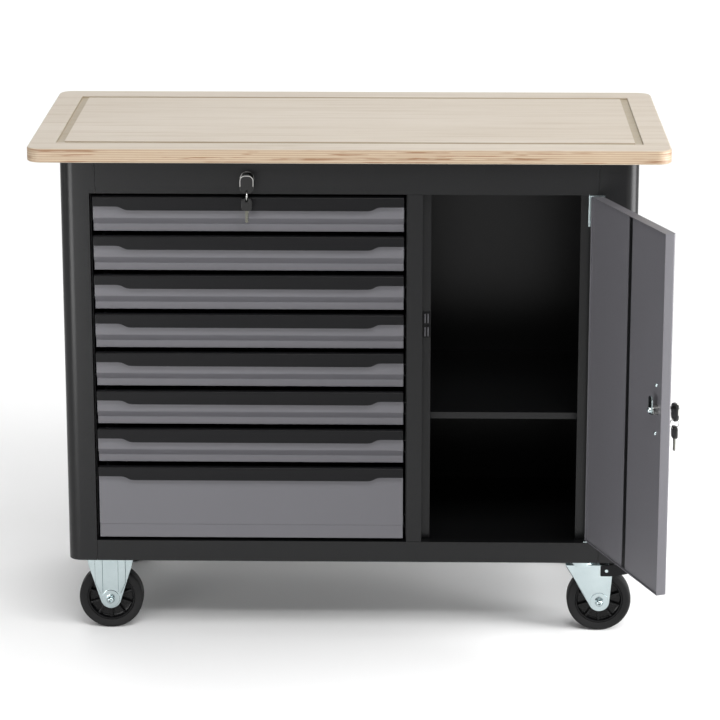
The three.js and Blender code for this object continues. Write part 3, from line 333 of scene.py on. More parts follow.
# %% [markdown]
# ## The painted, plated and moulded finishes
# The photograph shows a nearly black satin cabinet, cool grey drawer fronts and door, blue-white zinc
# on the casters, and black plastic and rubber. Each is one call of the skin with its own light and
# dark tone, its smoothest and roughest gloss, and how deep its pebbles look.

# %% Finishes
SKIN_RELIEF = 0.5 * MM
FINISH = {}


def skin_finish(name, light, dark, smooth, rough, metallic=0.0, drift=4.0, pebble=900.0, bump=0.02,
                specular=0.5):
    """A material made of the pebbled skin, kept under its name."""
    material, shader = new_material(name)
    shader.inputs["Metallic"].default_value = metallic
    shader.inputs["Specular IOR Level"].default_value = specular
    tree = material.node_tree
    skin = tree.nodes.new("ShaderNodeGroup")
    skin.node_tree = SKIN
    values = {"Light": (*light, 1.0), "Dark": (*dark, 1.0), "Drift": drift, "Pebble": pebble,
              "Smooth": smooth, "Rough": rough}
    for label, value in values.items():
        skin.inputs[label].default_value = value
    tree.links.new(skin.outputs["Color"], shader.inputs["Base Color"])
    tree.links.new(skin.outputs["Roughness"], shader.inputs["Roughness"])
    normal = relief(tree, skin.outputs["Height"], bump, SKIN_RELIEF)
    tree.links.new(normal, shader.inputs["Normal"])
    FINISH[name] = material


skin_finish("anthracite_paint", (0.0070, 0.0072, 0.0076), (0.0058, 0.0060, 0.0064), 0.27, 0.35,
            specular=0.26)
skin_finish("grey_paint", (0.110, 0.108, 0.119), (0.101, 0.099, 0.109), 0.36, 0.46, specular=0.40)
skin_finish("grip_plastic", (0.0055, 0.0055, 0.0062), (0.0042, 0.0042, 0.0048), 0.30, 0.42,
            bump=0.04, specular=0.15)
skin_finish("zinc", (0.52, 0.595, 0.605), (0.40, 0.47, 0.485), 0.16, 0.26,
            metallic=1.0, drift=30.0, pebble=160.0)
skin_finish("chrome", (0.62, 0.62, 0.60), (0.52, 0.52, 0.50), 0.10, 0.18, metallic=1.0, bump=0.01)
skin_finish("blade_steel", (0.20, 0.20, 0.17), (0.13, 0.13, 0.11), 0.26, 0.38,
            metallic=1.0, pebble=300.0, bump=0.05)
skin_finish("key_plastic", (0.0060, 0.0060, 0.0060), (0.0045, 0.0045, 0.0045), 0.25, 0.35,
            bump=0.03, specular=0.40)
skin_finish("rim_plastic", (0.0040, 0.0040, 0.0044), (0.0030, 0.0030, 0.0034), 0.22, 0.32,
            bump=0.05, specular=0.22)
skin_finish("rubber", (0.0105, 0.0105, 0.0108), (0.0080, 0.0080, 0.0083), 0.58, 0.76,
            pebble=500.0, bump=0.10, specular=0.20)
print("finishes:", sorted(FINISH))

# %% [markdown]
# ## Plywood: the face
# The top is sanded birch ply. Its face has long, pale, streaky grain that runs along the bench. A
# wood texture of rings would look like a sawn board, and face veneer is peeled off a log. So three
# noises are stretched along the bench instead: broad clouds, narrow streaks and fine fibres.

# %% Plywood face
# how often each noise changes per metre along, across and up, and its detail
CLOUD_GRAIN = ((1.6, 9.0, 9.0), 4.0)
STREAK_GRAIN = ((3.0, 90.0, 90.0), 5.0)
FIBRE_GRAIN = ((14.0, 700.0, 700.0), 2.0)
GRAIN_ROUGH = 0.55
FACE_PALE = (0.500, 0.442, 0.370, 1.0)
FACE_WARM = (0.460, 0.398, 0.323, 1.0)
FACE_STREAK = (0.405, 0.335, 0.258, 1.0)
FACE_FIBRE = (0.340, 0.268, 0.195, 1.0)
FACE_FIBRE_MOST = 0.22
# the part of each noise's range over which a tone comes in
FACE_CLOUDS = (0.35, 0.68)
FACE_STREAKS = (0.52, 0.72)
FACE_FIBRES = (0.50, 0.75)


def grain(tree, place, scale, detail):
    """Noise that is stretched by its own scale on each axis."""
    mapping = tree.nodes.new("ShaderNodeMapping")
    mapping.inputs["Scale"].default_value = scale
    tree.links.new(place, mapping.inputs["Vector"])
    return noise(tree, mapping.outputs["Vector"], 1.0, detail, GRAIN_ROUGH)


def ply_face(tree, cloud, streak, fibre):
    """The colour of the sanded face."""
    colour = mixed(tree, ranged(tree, cloud, *FACE_CLOUDS), FACE_PALE, FACE_WARM)
    colour = mixed(tree, ranged(tree, streak, *FACE_STREAKS), colour, FACE_STREAK)
    fine = ranged(tree, fibre, *FACE_FIBRES, 0.0, FACE_FIBRE_MOST)
    return mixed(tree, fine, colour, FACE_FIBRE)


print("face tones from", FACE_PALE[:3], "to", FACE_FIBRE[:3])

# %% [markdown]
# ## Plywood: the edge
# The edge shows the plies, light and brown by turns, with dark flecks where a ply has a gap. Stacked
# sheets of geometry would be far too thin. Dividing the height by the thickness of a ply numbers the
# plies, odd numbers are brown, and the number also moves the noise of the flecks, so that no two
# plies have them in the same place.

# %% Plywood edge
TOP_LOW, TOP_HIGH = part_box("worktop")
PLY_THICK = 2.1 * MM
FLECK_APART = 7.3
FLECK_SCALE = 9.0
FLECK_DETAIL = 3.0
EDGE_PALE = (0.421, 0.332, 0.238, 1.0)
EDGE_BROWN = (0.324, 0.237, 0.156, 1.0)
EDGE_GAP = (0.225, 0.120, 0.062, 1.0)
EDGE_FIBRE = (0.308, 0.208, 0.128, 1.0)
EDGE_FIBRE_MOST = 0.35
EDGE_GAPS = (0.56, 0.66)
EDGE_FIBRES = (0.45, 0.75)


def ply_edge(tree, at, fibre):
    """The colour of the cut edge, from the parts of the place and the fine fibres."""
    height = worked_out(tree, "SUBTRACT", at["Z"], TOP_LOW.z)
    ply = worked_out(tree, "FLOOR", worked_out(tree, "DIVIDE", height, PLY_THICK))
    odd = worked_out(tree, "MODULO", ply, 2.0)
    seat = tree.nodes.new("ShaderNodeCombineXYZ")
    tree.links.new(at["X"], seat.inputs["X"])
    tree.links.new(at["Y"], seat.inputs["Y"])
    tree.links.new(worked_out(tree, "MULTIPLY", ply, FLECK_APART), seat.inputs["Z"])
    fleck = noise(tree, seat.outputs["Vector"], FLECK_SCALE, FLECK_DETAIL)
    colour = mixed(tree, odd, EDGE_PALE, EDGE_BROWN)
    colour = mixed(tree, ranged(tree, fleck, *EDGE_GAPS), colour, EDGE_GAP)
    fine = ranged(tree, fibre, *EDGE_FIBRES, 0.0, EDGE_FIBRE_MOST)
    return mixed(tree, fine, colour, EDGE_FIBRE)


print("plies:", round((TOP_HIGH.z - TOP_LOW.z) / PLY_THICK, 1))

# %% [markdown]
# ## Plywood: face, edge and groove together
# Two materials would need the faces sorted by hand. Here one material tells them apart by which way
# the surface points, and takes the walls of the routed groove for face as well, because they lie
# well inside the rim. The bottom of the groove gets painted shade: well inside the rim, the colour
# goes towards a dark tone from half a millimetre below the top, which darkens the underside as well.
# Everything is read from Object coordinates, so nothing slides when the bench moves.

# %% Plywood
RIM_CLEAR = 20.0 * MM
FLAT_FROM, FLAT_TO = 0.6, 0.8
# painted shade: the depths below the top where it starts and where it is full, its dark tone and its
# most
GROOVE_SHADE_START, GROOVE_SHADE_FULL = 0.5 * MM, 2.0 * MM
GROOVE_SHADE_TONE = (0.300, 0.245, 0.160, 1.0)
GROOVE_SHADE_MOST = 0.8
PLY_GLOSS, PLY_GLOSS_DRIFT = 0.42, 0.18
PLY_BUMP = 0.12
PLY_RELIEF = 0.6 * MM


def parts_of(tree, vector):
    """The X, Y and Z of a vector."""
    split = tree.nodes.new("ShaderNodeSeparateXYZ")
    tree.links.new(vector, split.inputs["Vector"])
    return split.outputs


def inside_rim(tree, at):
    """1 where a point lies well inside the worktop's rim, 0 near the rim."""
    insets = []
    for axis, low, high in (("X", TOP_LOW.x, TOP_HIGH.x), ("Y", TOP_LOW.y, TOP_HIGH.y)):
        off = worked_out(tree, "SUBTRACT", at[axis], (low + high) / 2)
        reach = worked_out(tree, "ABSOLUTE", off)
        insets.append(worked_out(tree, "SUBTRACT", (high - low) / 2, reach))
    return worked_out(tree, "GREATER_THAN", worked_out(tree, "MINIMUM", *insets), RIM_CLEAR)


def make_plywood():
    """The whole worktop's material, kept under its name."""
    material, shader = new_material("plywood")
    tree = material.node_tree
    place = tree.nodes.new("ShaderNodeTexCoord").outputs["Object"]
    at = parts_of(tree, place)
    cloud, streak, fibre = (grain(tree, place, *values)
                            for values in (CLOUD_GRAIN, STREAK_GRAIN, FIBRE_GRAIN))
    normal = parts_of(tree, tree.nodes.new("ShaderNodeNewGeometry").outputs["Normal"])
    flat = ranged(tree, worked_out(tree, "ABSOLUTE", normal["Z"]), FLAT_FROM, FLAT_TO)
    inside = inside_rim(tree, at)
    is_face = worked_out(tree, "MAXIMUM", flat, inside)
    colour = mixed(tree, is_face, ply_edge(tree, at, fibre), ply_face(tree, cloud, streak, fibre))
    # painted shade in the groove and on the underside: deeper points inside the rim go towards a dark
    # tone
    depth = worked_out(tree, "SUBTRACT", TOP_HIGH.z, at["Z"])
    cut = ranged(tree, depth, GROOVE_SHADE_START, GROOVE_SHADE_FULL, 0.0, GROOVE_SHADE_MOST)
    colour = mixed(tree, worked_out(tree, "MULTIPLY", cut, inside), colour, GROOVE_SHADE_TONE)
    gloss = worked_out(tree, "MULTIPLY", streak, PLY_GLOSS_DRIFT)
    tree.links.new(colour, shader.inputs["Base Color"])
    tree.links.new(worked_out(tree, "ADD", gloss, PLY_GLOSS), shader.inputs["Roughness"])
    tree.links.new(relief(tree, fibre, PLY_BUMP, PLY_RELIEF), shader.inputs["Normal"])
    FINISH["plywood"] = material


make_plywood()
print("plywood from", round(TOP_LOW.z, 3), "to", round(TOP_HIGH.z, 3))

# %% [markdown]
# ## Finishing a piece
# Every mesh needs the same last steps: smooth faces with sharp edges where the shape has them, a
# material, and a body to ride on when the bench moves. One function does them all. The weighted
# normals keep large flats flat beside a narrow roll, which plain smooth shading would not.

# %% Finishing a piece
RECORD = frame["record"]
SLOT_OF = {entry["node"]: entry["material_slot"] for entry in RECORD["subparts"]}
BODY_OF = {node: body for body, nodes in RECORD["behaviour"]["bodies"].items() for node in nodes}
SHARP = math.radians(35)


def finished(bm, name, finish, body, replaced=()):
    """Turns a bmesh into a piece that rides on its body, smooth over its soft edges."""
    for face in bm.faces:
        face.smooth = True
    for edge in bm.edges:
        edge.smooth = edge.is_manifold and edge.calc_face_angle(0.0) < SHARP
    mesh = bpy.data.meshes.new(name)
    bm.to_mesh(mesh)
    bm.free()
    mesh.materials.append(FINISH[finish])
    piece = bpy.data.objects.new(name, mesh)
    bpy.context.scene.collection.objects.link(piece)
    even = piece.modifiers.new("even_shading", "WEIGHTED_NORMAL")
    even.keep_sharp = True
    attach(piece, body)
    if replaced:
        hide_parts(*replaced)
    return piece


print("slots:", sorted(set(SLOT_OF.values())))

# %% [markdown]
# ## Rolled edges
# Folded sheet and moulded plastic never have knife edges, and it is the thin highlight along an edge
# that makes a panel look real. Modelling each panel again would be one way. It is quicker, and keeps
# every fit, to copy the frame's own piece, merge its triangles into whole faces and bevel every sharp
# edge by about half a millimetre.

# %% Rolled edges
FLAT_ENOUGH = math.radians(0.5)
MERGE_WITHIN = 0.1 * MM
ROLL_STEPS = 2
WIDE_STEPS = 4


def whole_faces(node):
    """The frame's piece as a bmesh with its triangles merged into whole faces."""
    bm = bmesh.new()
    bm.from_mesh(frame["nodes"][node].data)
    bmesh.ops.remove_doubles(bm, verts=bm.verts, dist=MERGE_WITHIN)
    bmesh.ops.dissolve_limit(bm, angle_limit=FLAT_ENOUGH, verts=bm.verts, edges=bm.edges)
    return bm


def rolled(node, width, steps=ROLL_STEPS, wide_edges=None, wide=0.0, reshape=None):
    """A copy of the frame's piece with its edges rolled. Chosen edges get a wider roll first."""
    bm = whole_faces(node)
    if reshape:
        reshape(bm)
    if wide_edges:
        bevel(bm, [edge for edge in bm.edges if wide_edges(edge)], wide, WIDE_STEPS)
    sharp = [edge for edge in bm.edges
             if edge.is_manifold and edge.calc_face_angle(0.0) > SHARP]
    bevel(bm, sharp, width, steps)
    return finished(bm, f"{node}_skin", SLOT_OF[node], BODY_OF[node], [node])


print("rolled in", ROLL_STEPS, "steps, wide rolls in", WIDE_STEPS)

# %% [markdown]
# ## Worktop and cabinet
# The worktop has its corners and its groove already, and sanding only breaks its edges. The cabinet
# is thin folded sheet, which gets a narrower roll. In the photograph more of the hinge jamb shows
# beside the open door than the frame has, so the free edge of that fold is moved before it is rolled.

# %% Worktop and cabinet
WOOD_ROLL = 0.8 * MM
SHEET_ROLL = 0.4 * MM
JAMB_WIDER = 13.0 * MM
JAMB_EDGE = 1.0 * MM
PANELS = ("front_header", "left_side_panel", "base_pan", "centre_divider", "shelf", "back_panel")


def widen_jamb(bm):
    """Moves the free edge of the hinge jamb, so that more of it shows beside the open door."""
    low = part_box("right_side_panel")[0]
    edge = [vert for vert in bm.verts if vert.co.x < low.x + JAMB_EDGE]
    bmesh.ops.translate(bm, verts=edge, vec=(-JAMB_WIDER, 0, 0))
    print("jamb points:", len(edge))


rolled("worktop", WOOD_ROLL)
for panel in PANELS:
    rolled(panel, SHEET_ROLL)
rolled("right_side_panel", SHEET_ROLL, reshape=widen_jamb)
print("worktop and", len(PANELS) + 1, "panels rolled")

# %% [markdown]
# ## Door
# The door is a folded pan with an inner panel, and a dark groove runs down that panel. The door
# stands open, and what is square on a shut door is askew on an open one. So its points are looked at
# with the door swung shut, changed there, and swung open again about the hinge.

# %% Door
DOOR_ROLL = 0.6 * MM
INNER_ROLL = 0.5 * MM
DOOR_OPEN = math.radians(110)
JOINT = {joint["name"]: joint for joint in RECORD["behaviour"]["joints"]}
HINGE = Vector(JOINT["door_hinge"]["pos_m"])
SWUNG = Matrix.Translation(HINGE) @ Matrix.Rotation(DOOR_OPEN, 4, "Z") @ Matrix.Translation(-HINGE)
SHUT = SWUNG.inverted()
GROOVE_FROM, GROOVE_TO = 0.300, 0.325
GROOVE_WIDER = 8.0 * MM
GROOVE_OVER = 20.0 * MM
PANEL_DEEPER = 3.0 * MM
FLATS_WITHIN = 5.0 * MM


def in_groove(point):
    """Whether a point of the shut door lies in the inner panel's groove."""
    return GROOVE_FROM < point.x < GROOVE_TO


def sink_panel(bm):
    """Moves the groove over, widens it, and sets the flats back behind the door's rim."""
    shut = {vert: SHUT @ vert.co for vert in bm.verts}
    inside = max(point.y for point in shut.values())
    groove = [vert for vert, point in shut.items() if in_groove(point)]
    middle = sum(shut[vert].x for vert in groove) / len(groove)
    hinge_side = [vert for vert in groove if shut[vert].x > middle]
    flats = [vert for vert, point in shut.items() if point.y > inside - FLATS_WITHIN]
    moves = ((groove, (-GROOVE_OVER, 0, 0)), (hinge_side, (GROOVE_WIDER, 0, 0)),
             (flats, (0, -PANEL_DEEPER, 0)))
    for verts, shift in moves:
        bmesh.ops.translate(bm, verts=verts, vec=SWUNG.to_3x3() @ Vector(shift))


rolled("door_panel", DOOR_ROLL)
rolled("door_inner_panel", INNER_ROLL, reshape=sink_panel)
print("door hinge at", tuple(round(value, 4) for value in HINGE))

# %% [markdown]
# ## A black strip as painted shade in the groove
# The groove is dark all along in the photograph, darker than a groove painted grey gets in soft
# light, as it lies in shade. Painting its floor by a mask would need the edge of the mask to follow
# the fold. So the shade is painted with a strip of its own in the black of the cabinet, which fills
# the groove to just below the flats beside it.

# %% Groove strip
STRIP_DOWN = 1.2 * MM
STRIP_ROLL = 0.3 * MM
LIPS_WITHIN = 0.5 * MM
DIGITS = 4


def block(bm, low, high, place):
    """A box between two corners, set down by a placing frame."""
    size = Matrix.Diagonal((*(high - low), 1.0))
    bmesh.ops.create_cube(bm, size=1.0, matrix=place @ Matrix.Translation((low + high) / 2) @ size)


def groove_shade_strip():
    """The black strip of painted shade, measured from the groove that the frame's panel has."""
    shut = [SHUT @ vert.co for vert in frame["nodes"]["door_inner_panel"].data.vertices]
    inside = max(point.y for point in shut)
    groove = [point for point in shut if in_groove(point)]
    lips = sorted({round(point.x, DIGITS) for point in groove if point.y > inside - LIPS_WITHIN})
    # the first level is the hidden side of the sheet, the second the floor of the groove
    floors = sorted({round(point.y, DIGITS) for point in groove})
    heights = [point.z for point in groove]
    low = Vector((lips[0] - GROOVE_OVER, floors[1], min(heights)))
    high = Vector((lips[-1] - GROOVE_OVER + GROOVE_WIDER, inside - PANEL_DEEPER - STRIP_DOWN,
                   max(heights)))
    bm = bmesh.new()
    block(bm, low, high, SWUNG)
    bevel(bm, bm.edges[:], STRIP_ROLL, ROLL_STEPS)
    # painted shade: a black strip stands in for the shade in the groove
    finished(bm, "door_groove_shade_strip", "anthracite_paint", BODY_OF["door_inner_panel"])
    print("groove strip:", tuple(round(value, DIGITS) for value in high - low))


groove_shade_strip()

# %% [markdown]
# ## Fittings and keys
# Hinges, locks, the magnetic catch and the keys have their true shapes in the frame. Drawn anew they
# would only risk their fits, so they are rolled like the panels: the stamped ones narrowly, the
# moulded key heads a little more.

# %% Fittings and keys
FITTING_ROLL = 0.3 * MM
KEY_ROLL = 0.6 * MM
FITTINGS = ("upper_hinge", "lower_hinge", "door_catch", "drawer_lock_crank", "door_lock_cam",
            "drawer_lock_housing", "door_lock_housing")

for fitting in FITTINGS:
    rolled(fitting, FITTING_ROLL)
for lock in ("drawer", "door"):
    rolled(f"{lock}_key", KEY_ROLL)
    rolled(f"{lock}_spare_key", KEY_ROLL)
print("fittings:", len(FITTINGS), "and 4 keys")

# %% [markdown]
# ## Drawers
# A drawer front is one pressed sheet: a flat band, a crease that goes back, and a lower band. A press
# leaves a radius on that crease, so its long edges get a wider roll than the rest of the tray. The
# lower band of the shallow drawers lies a little deeper in the photograph than in the frame, so it is
# set back first, and its foot lower, which keeps the slope of the crease out of the light.

# %% Drawers and grips
DRAWERS = [f"drawer_{number}" for number in range(1, 9)]
TRAY_ROLL = 0.3 * MM
TRAY_STEPS = 1
GRIP_ROLL = 0.6 * MM
CREASE_ROLL = 1.0 * MM
CREASE_DEEPER = 3.0 * MM
CREASE_LOWER = 2.0 * MM
CREASE_LONG = 0.5
CREASE_LEAST, CREASE_MOST = 0.05, 1.2
FRONT_DEPTH = 12.0 * MM
FRONT_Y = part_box("front_header")[0].y + FRONT_DEPTH
BAND_NEAR, BAND_FAR = 6.0 * MM, 9.0 * MM
FOOT_LOW, FOOT_HIGH = 15.0 * MM, 18.0 * MM


def crease_edge(edge):
    """Picks the long, blunt edges across a drawer front."""
    start, end = (vert.co for vert in edge.verts)
    long_front = abs(start.x - end.x) > CREASE_LONG and max(start.y, end.y) < FRONT_Y
    return long_front and CREASE_LEAST < edge.calc_face_angle(0.0) < CREASE_MOST


def deepen_crease(bm):
    """Sets the band under the crease further back, and its foot lower."""
    front = min(vert.co.y for vert in bm.verts)
    band = [vert for vert in bm.verts if BAND_NEAR < vert.co.y - front < BAND_FAR]
    low = min(vert.co.z for vert in band)
    foot = [vert for vert in band if FOOT_LOW < vert.co.z - low < FOOT_HIGH]
    bmesh.ops.translate(bm, verts=band, vec=(0, CREASE_DEEPER, 0))
    bmesh.ops.translate(bm, verts=foot, vec=(0, 0, -CREASE_LOWER))


for drawer in DRAWERS:
    press = None if drawer == DRAWERS[-1] else deepen_crease
    rolled(drawer, TRAY_ROLL, TRAY_STEPS, crease_edge, CREASE_ROLL, press)
    rolled(f"{drawer}_grip", GRIP_ROLL)
print("drawers:", len(DRAWERS))

# %% [markdown]
# ## Turning
# Wheels, rings and screw heads are round. A cylinder from the menu has no profile, so each is drawn
# as a section and spun, as a lathe would turn it. A placing frame says where the axis stands and
# which way it points, so that one section serves for every copy.

# %% Turning


def facing(at, outward):
    """A placing frame at a point, with its Z along the outward direction."""
    return Matrix.Translation(at) @ Vector(outward).to_track_quat("Z", "Y").to_matrix().to_4x4()


def spun(bm, profile, place, steps, closed=True):
    """Spins a profile of (radius, height) points round the Z of a placing frame."""
    line = [bm.verts.new(place @ Vector((radius, 0, height))) for radius, height in profile]
    edges = [bm.edges.new(pair) for pair in zip(line, line[1:])]
    if closed:
        edges.append(bm.edges.new((line[-1], line[0])))
    axis = place.to_3x3() @ Vector((0, 0, 1))
    bmesh.ops.spin(bm, geom=line + edges, cent=place.translation, axis=axis, angle=2 * math.pi,
                   steps=steps, use_merge=True)


def mirrored(half):
    """A whole profile in metres from half of it in millimetres."""
    near = [(radius * MM, height * MM) for radius, height in half]
    return near + [(radius, -height) for radius, height in reversed(near)]


print("helpers: facing, spun, mirrored")

# %% [markdown]
# ## Wheels
# The frame's wheels have flat sides, and a wheel that is not round shows at once. More sides on the
# frame's shape would not give the tyre its rounded tread. So each wheel is drawn as half a profile in
# millimetres, mirrored and spun round its axle. The ribs of the rim are blocks with rolled edges, set
# round the hub.

# %% Wheels
WHEEL_STEPS = 96
# half profiles: radius and distance from the middle of the wheel, in millimetres
TYRE_HALF = ((46.8, 15.4), (52.0, 16.7), (56.6, 17.8), (59.2, 17.4), (61.3, 15.7), (62.2, 13.2),
             (62.5, 9.5))
RIM_HALF = ((6.4, 19.4), (13.4, 19.4), (14.8, 18.4), (15.4, 6.2), (17.4, 4.3), (39.0, 4.3),
            (41.8, 6.2), (42.5, 13.4), (43.6, 14.8), (45.6, 14.9), (46.4, 14.0))
RIBS = 10
RIB_LOW = Vector((13.5, -2.0, -12.0)) * MM
RIB_HIGH = Vector((43.0, 2.0, 12.0)) * MM
RIB_ROLL = 1.0 * MM


def make_wheel(caster):
    """A turned tyre and a ribbed rim in place of the frame's faceted ones."""
    low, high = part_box(f"{caster}_tyre")
    place = facing((low + high) / 2, (0, 1, 0))
    body = BODY_OF[f"{caster}_tyre"]
    tyre = bmesh.new()
    spun(tyre, mirrored(TYRE_HALF), place, WHEEL_STEPS)
    bmesh.ops.recalc_face_normals(tyre, faces=tyre.faces)
    finished(tyre, f"{caster}_tyre_turned", "rubber", body, [f"{caster}_tyre"])
    rim = bmesh.new()
    for rib in range(RIBS):
        turn = Matrix.Rotation((rib + 0.5) / RIBS * 2 * math.pi, 4, "Z")
        block(rim, RIB_LOW, RIB_HIGH, place @ turn)
    bevel(rim, rim.edges[:], RIB_ROLL, ROLL_STEPS)
    spun(rim, mirrored(RIM_HALF), place, WHEEL_STEPS)
    bmesh.ops.recalc_face_normals(rim, faces=rim.faces)
    finished(rim, f"{caster}_rim_turned", "rim_plastic", body, [f"{caster}_rim"])


print("wheel profiles:", len(TYRE_HALF), "and", len(RIM_HALF), "points a side")

# %% [markdown]
# ## Forks, plates and brakes
# These are pressed sheet, so they are rolled like the panels. On the fixed casters a pressed rib
# stands proud of each cheek, and a press cannot make it sharp. Its long upright edges are picked by
# how far they stand out, and get a roll of their own before the rest.

# %% Casters
ROWS = ("front", "rear")
FORK_ROLL = 0.8 * MM
PROUD_ROLL = 2.2 * MM
PROUD_FROM = 25.0 * MM
PROUD_LONG = 20.0 * MM
SWIVEL_ROLL = 0.5 * MM
PLATE_ROLL = 0.6 * MM
BRAKE_ROLL = 1.0 * MM


def proud_edges(caster):
    """A test that picks the long upright edges proud of the fork's cheeks."""
    low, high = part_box(f"{caster}_tyre")
    middle = (low.y + high.y) / 2

    def picks(edge):
        first, second = (vert.co for vert in edge.verts)
        out = min(abs(first.y - middle), abs(second.y - middle))
        return out > PROUD_FROM and abs(first.z - second.z) > PROUD_LONG

    return picks


for row in ROWS:
    fixed, swivel = f"fixed_caster_{row}", f"swivel_caster_{row}"
    rolled(f"{fixed}_fork", FORK_ROLL, wide_edges=proud_edges(fixed), wide=PROUD_ROLL)
    rolled(f"{swivel}_fork", SWIVEL_ROLL)
    rolled(f"{swivel}_plate", PLATE_ROLL)
    rolled(f"{swivel}_brake", BRAKE_ROLL)
    make_wheel(fixed)
    make_wheel(swivel)
print("casters:", 2 * len(ROWS))

# %% [markdown]
# ## A bright arch on each key
# Keys are small, but they are among the few bright points of the cabinet. A folding key's head has a
# bright arch over its rim. A bent wire would be round in section, and this one is flat. So it is a
# rectangle with its corners rounded by a bevel of the vertices, inset to a ring, cut through, and
# extruded to the thickness of the head.

# %% Key arches
BAND_DEEP = 2.2 * MM
BAND_WIDE = 1.2 * MM
BAND_PROUD = 0.30 * MM
BAND_FROM = 0.4
HEAD_CORNER = 10.0 * MM
HEAD_STEPS = 8


def shut_box(node, swing):
    """The box of a frame piece as it is with the door shut."""
    back = swing.inverted()
    points = [back @ vert.co for vert in frame["nodes"][node].data.vertices]
    return [Vector([pick(point[axis] for point in points) for axis in range(3)])
            for pick in (min, max)]


def thickened(bm, faces, depth):
    """Extrudes flat faces along Y into a closed solid."""
    made = bmesh.ops.extrude_face_region(bm, geom=faces)["geom"]
    moved = [item for item in made if isinstance(item, bmesh.types.BMVert)]
    bmesh.ops.translate(bm, verts=moved, vec=(0, depth, 0))
    bmesh.ops.recalc_face_normals(bm, faces=bm.faces)


def key_band(name, body, swing):
    """The bright arch over a key's head."""
    low, high = shut_box(f"{name}_key", swing)
    proud = Vector((BAND_PROUD, BAND_PROUD, BAND_PROUD))
    low, high = low - proud, high + proud
    bm = bmesh.new()
    corners = ((low.x, low.z), (high.x, low.z), (high.x, high.z), (low.x, high.z))
    bm.faces.new([bm.verts.new((x, low.y, z)) for x, z in corners])
    bmesh.ops.bevel(bm, geom=bm.verts[:], offset=HEAD_CORNER, offset_type="OFFSET",
                    affect="VERTICES", segments=HEAD_STEPS, profile=0.5, material=-1,
                    clamp_overlap=True)
    middle = bm.faces[:]
    bmesh.ops.inset_region(bm, faces=middle, thickness=BAND_WIDE, use_boundary=True,
                           use_even_offset=True)
    bmesh.ops.delete(bm, geom=middle, context="FACES")
    cut = Vector((0, 0, low.z + BAND_FROM * (high.z - low.z)))
    bmesh.ops.bisect_plane(bm, geom=bm.verts[:] + bm.edges[:] + bm.faces[:], plane_co=cut,
                           plane_no=(0, 0, 1), clear_inner=True)
    thickened(bm, bm.faces[:], BAND_DEEP)
    bmesh.ops.transform(bm, matrix=swing, verts=bm.verts)
    finished(bm, f"{name}_key_band", "chrome", body)


print("arch:", BAND_WIDE, "m wide")

# %% [markdown]
# ## Blades of the spare keys
# The spare keys hang with their cut blades down, and the frame's blade is plain. The teeth could be
# cut out of it one by one. It is simpler to draw one outline with all its teeth, which covers the
# plain blade. Its steel is duller than the chrome beside it.

# %% Spare blades
BLADE_LONG = 23.0 * MM
BLADE_HALF = 3.2 * MM
BLADE_THICK = 2.4 * MM
TIP_LONG = 2.0 * MM
TIP_BELOW = 0.2 * MM
UNCUT = 6.0 * MM
# how deep the cuts are, in millimetres from the tip up
TEETH = (0.0, 1.4, 0.5, 2.0, 0.9, 1.7, 0.3, 1.1, 0.0)


def spare_blade(name, body, swing):
    """A thin blade with a cut edge that covers the plain blade of the frame's spare key."""
    low, high = shut_box(f"{name}_spare_key", swing)
    middle = (low + high) / 2
    left, right = middle.x - BLADE_HALF, middle.x + BLADE_HALF
    tip, shoulder = low.z + TIP_LONG, low.z + BLADE_LONG
    rise = (BLADE_LONG - UNCUT) / (len(TEETH) - 1)
    outline = [(left, shoulder), (left, tip), (middle.x, low.z - TIP_BELOW)]
    outline += [(right - depth * MM, tip + step * rise) for step, depth in enumerate(TEETH)]
    outline.append((right, shoulder))
    bm = bmesh.new()
    front = middle.y - BLADE_THICK / 2
    face = bm.faces.new([bm.verts.new((x, front, z)) for x, z in outline])
    thickened(bm, [face], BLADE_THICK)
    bmesh.ops.transform(bm, matrix=swing, verts=bm.verts)
    blade = finished(bm, f"{name}_spare_blade", "chrome", body)
    blade.data.materials[0] = FINISH["blade_steel"]


print("teeth:", len(TEETH))

# %% [markdown]
# ## Key rings
# A ring of round wire holds each spare key. The frame's ring has flat sides, and a torus from the
# menu would need to be turned and placed by hand. A small circle is spun round a large one instead,
# with the same helper that turns the wheels. Then each lock gets its arch, its blade and its ring.

# %% Key rings
RING_WIRE = 0.9 * MM
WIRE_STEPS = 12
RING_STEPS = 48


def key_ring(name, body, swing):
    """Round wire in place of the frame's faceted ring."""
    low, high = shut_box(f"{name}_key_ring", swing)
    place = swing @ facing((low + high) / 2, (1, 0, 0))
    radius = min(high.z - low.z, high.y - low.y) / 2 - RING_WIRE
    angles = [step / WIRE_STEPS * 2 * math.pi for step in range(WIRE_STEPS)]
    circle = [(radius + RING_WIRE * math.cos(angle), RING_WIRE * math.sin(angle))
              for angle in angles]
    bm = bmesh.new()
    spun(bm, circle, place, RING_STEPS)
    bmesh.ops.recalc_face_normals(bm, faces=bm.faces)
    finished(bm, f"{name}_ring_turned", "chrome", body, [f"{name}_key_ring"])


for lock, swing in (("drawer", Matrix.Identity(4)), ("door", SWUNG)):
    key_band(lock, BODY_OF[f"{lock}_key"], swing)
    spare_blade(lock, BODY_OF[f"{lock}_spare_key"], swing)
    key_ring(lock, BODY_OF[f"{lock}_key_ring"], swing)
print("arches, blades and rings: 2 each")

# %% [markdown]
# ## The poles of the catch
# The magnetic catch has four steel strips that show as dull grey faces in its black block. They are
# part of the block in the frame, so a thin plate with rolled edges is laid on each. The places are
# read from the frame, as the foremost points of the block.

# %% Catch poles
POLE_THICK = 0.8 * MM
POLE_ROLL = 0.15 * MM
FOREMOST = 0.1 * MM
POLE_DIGITS = 5


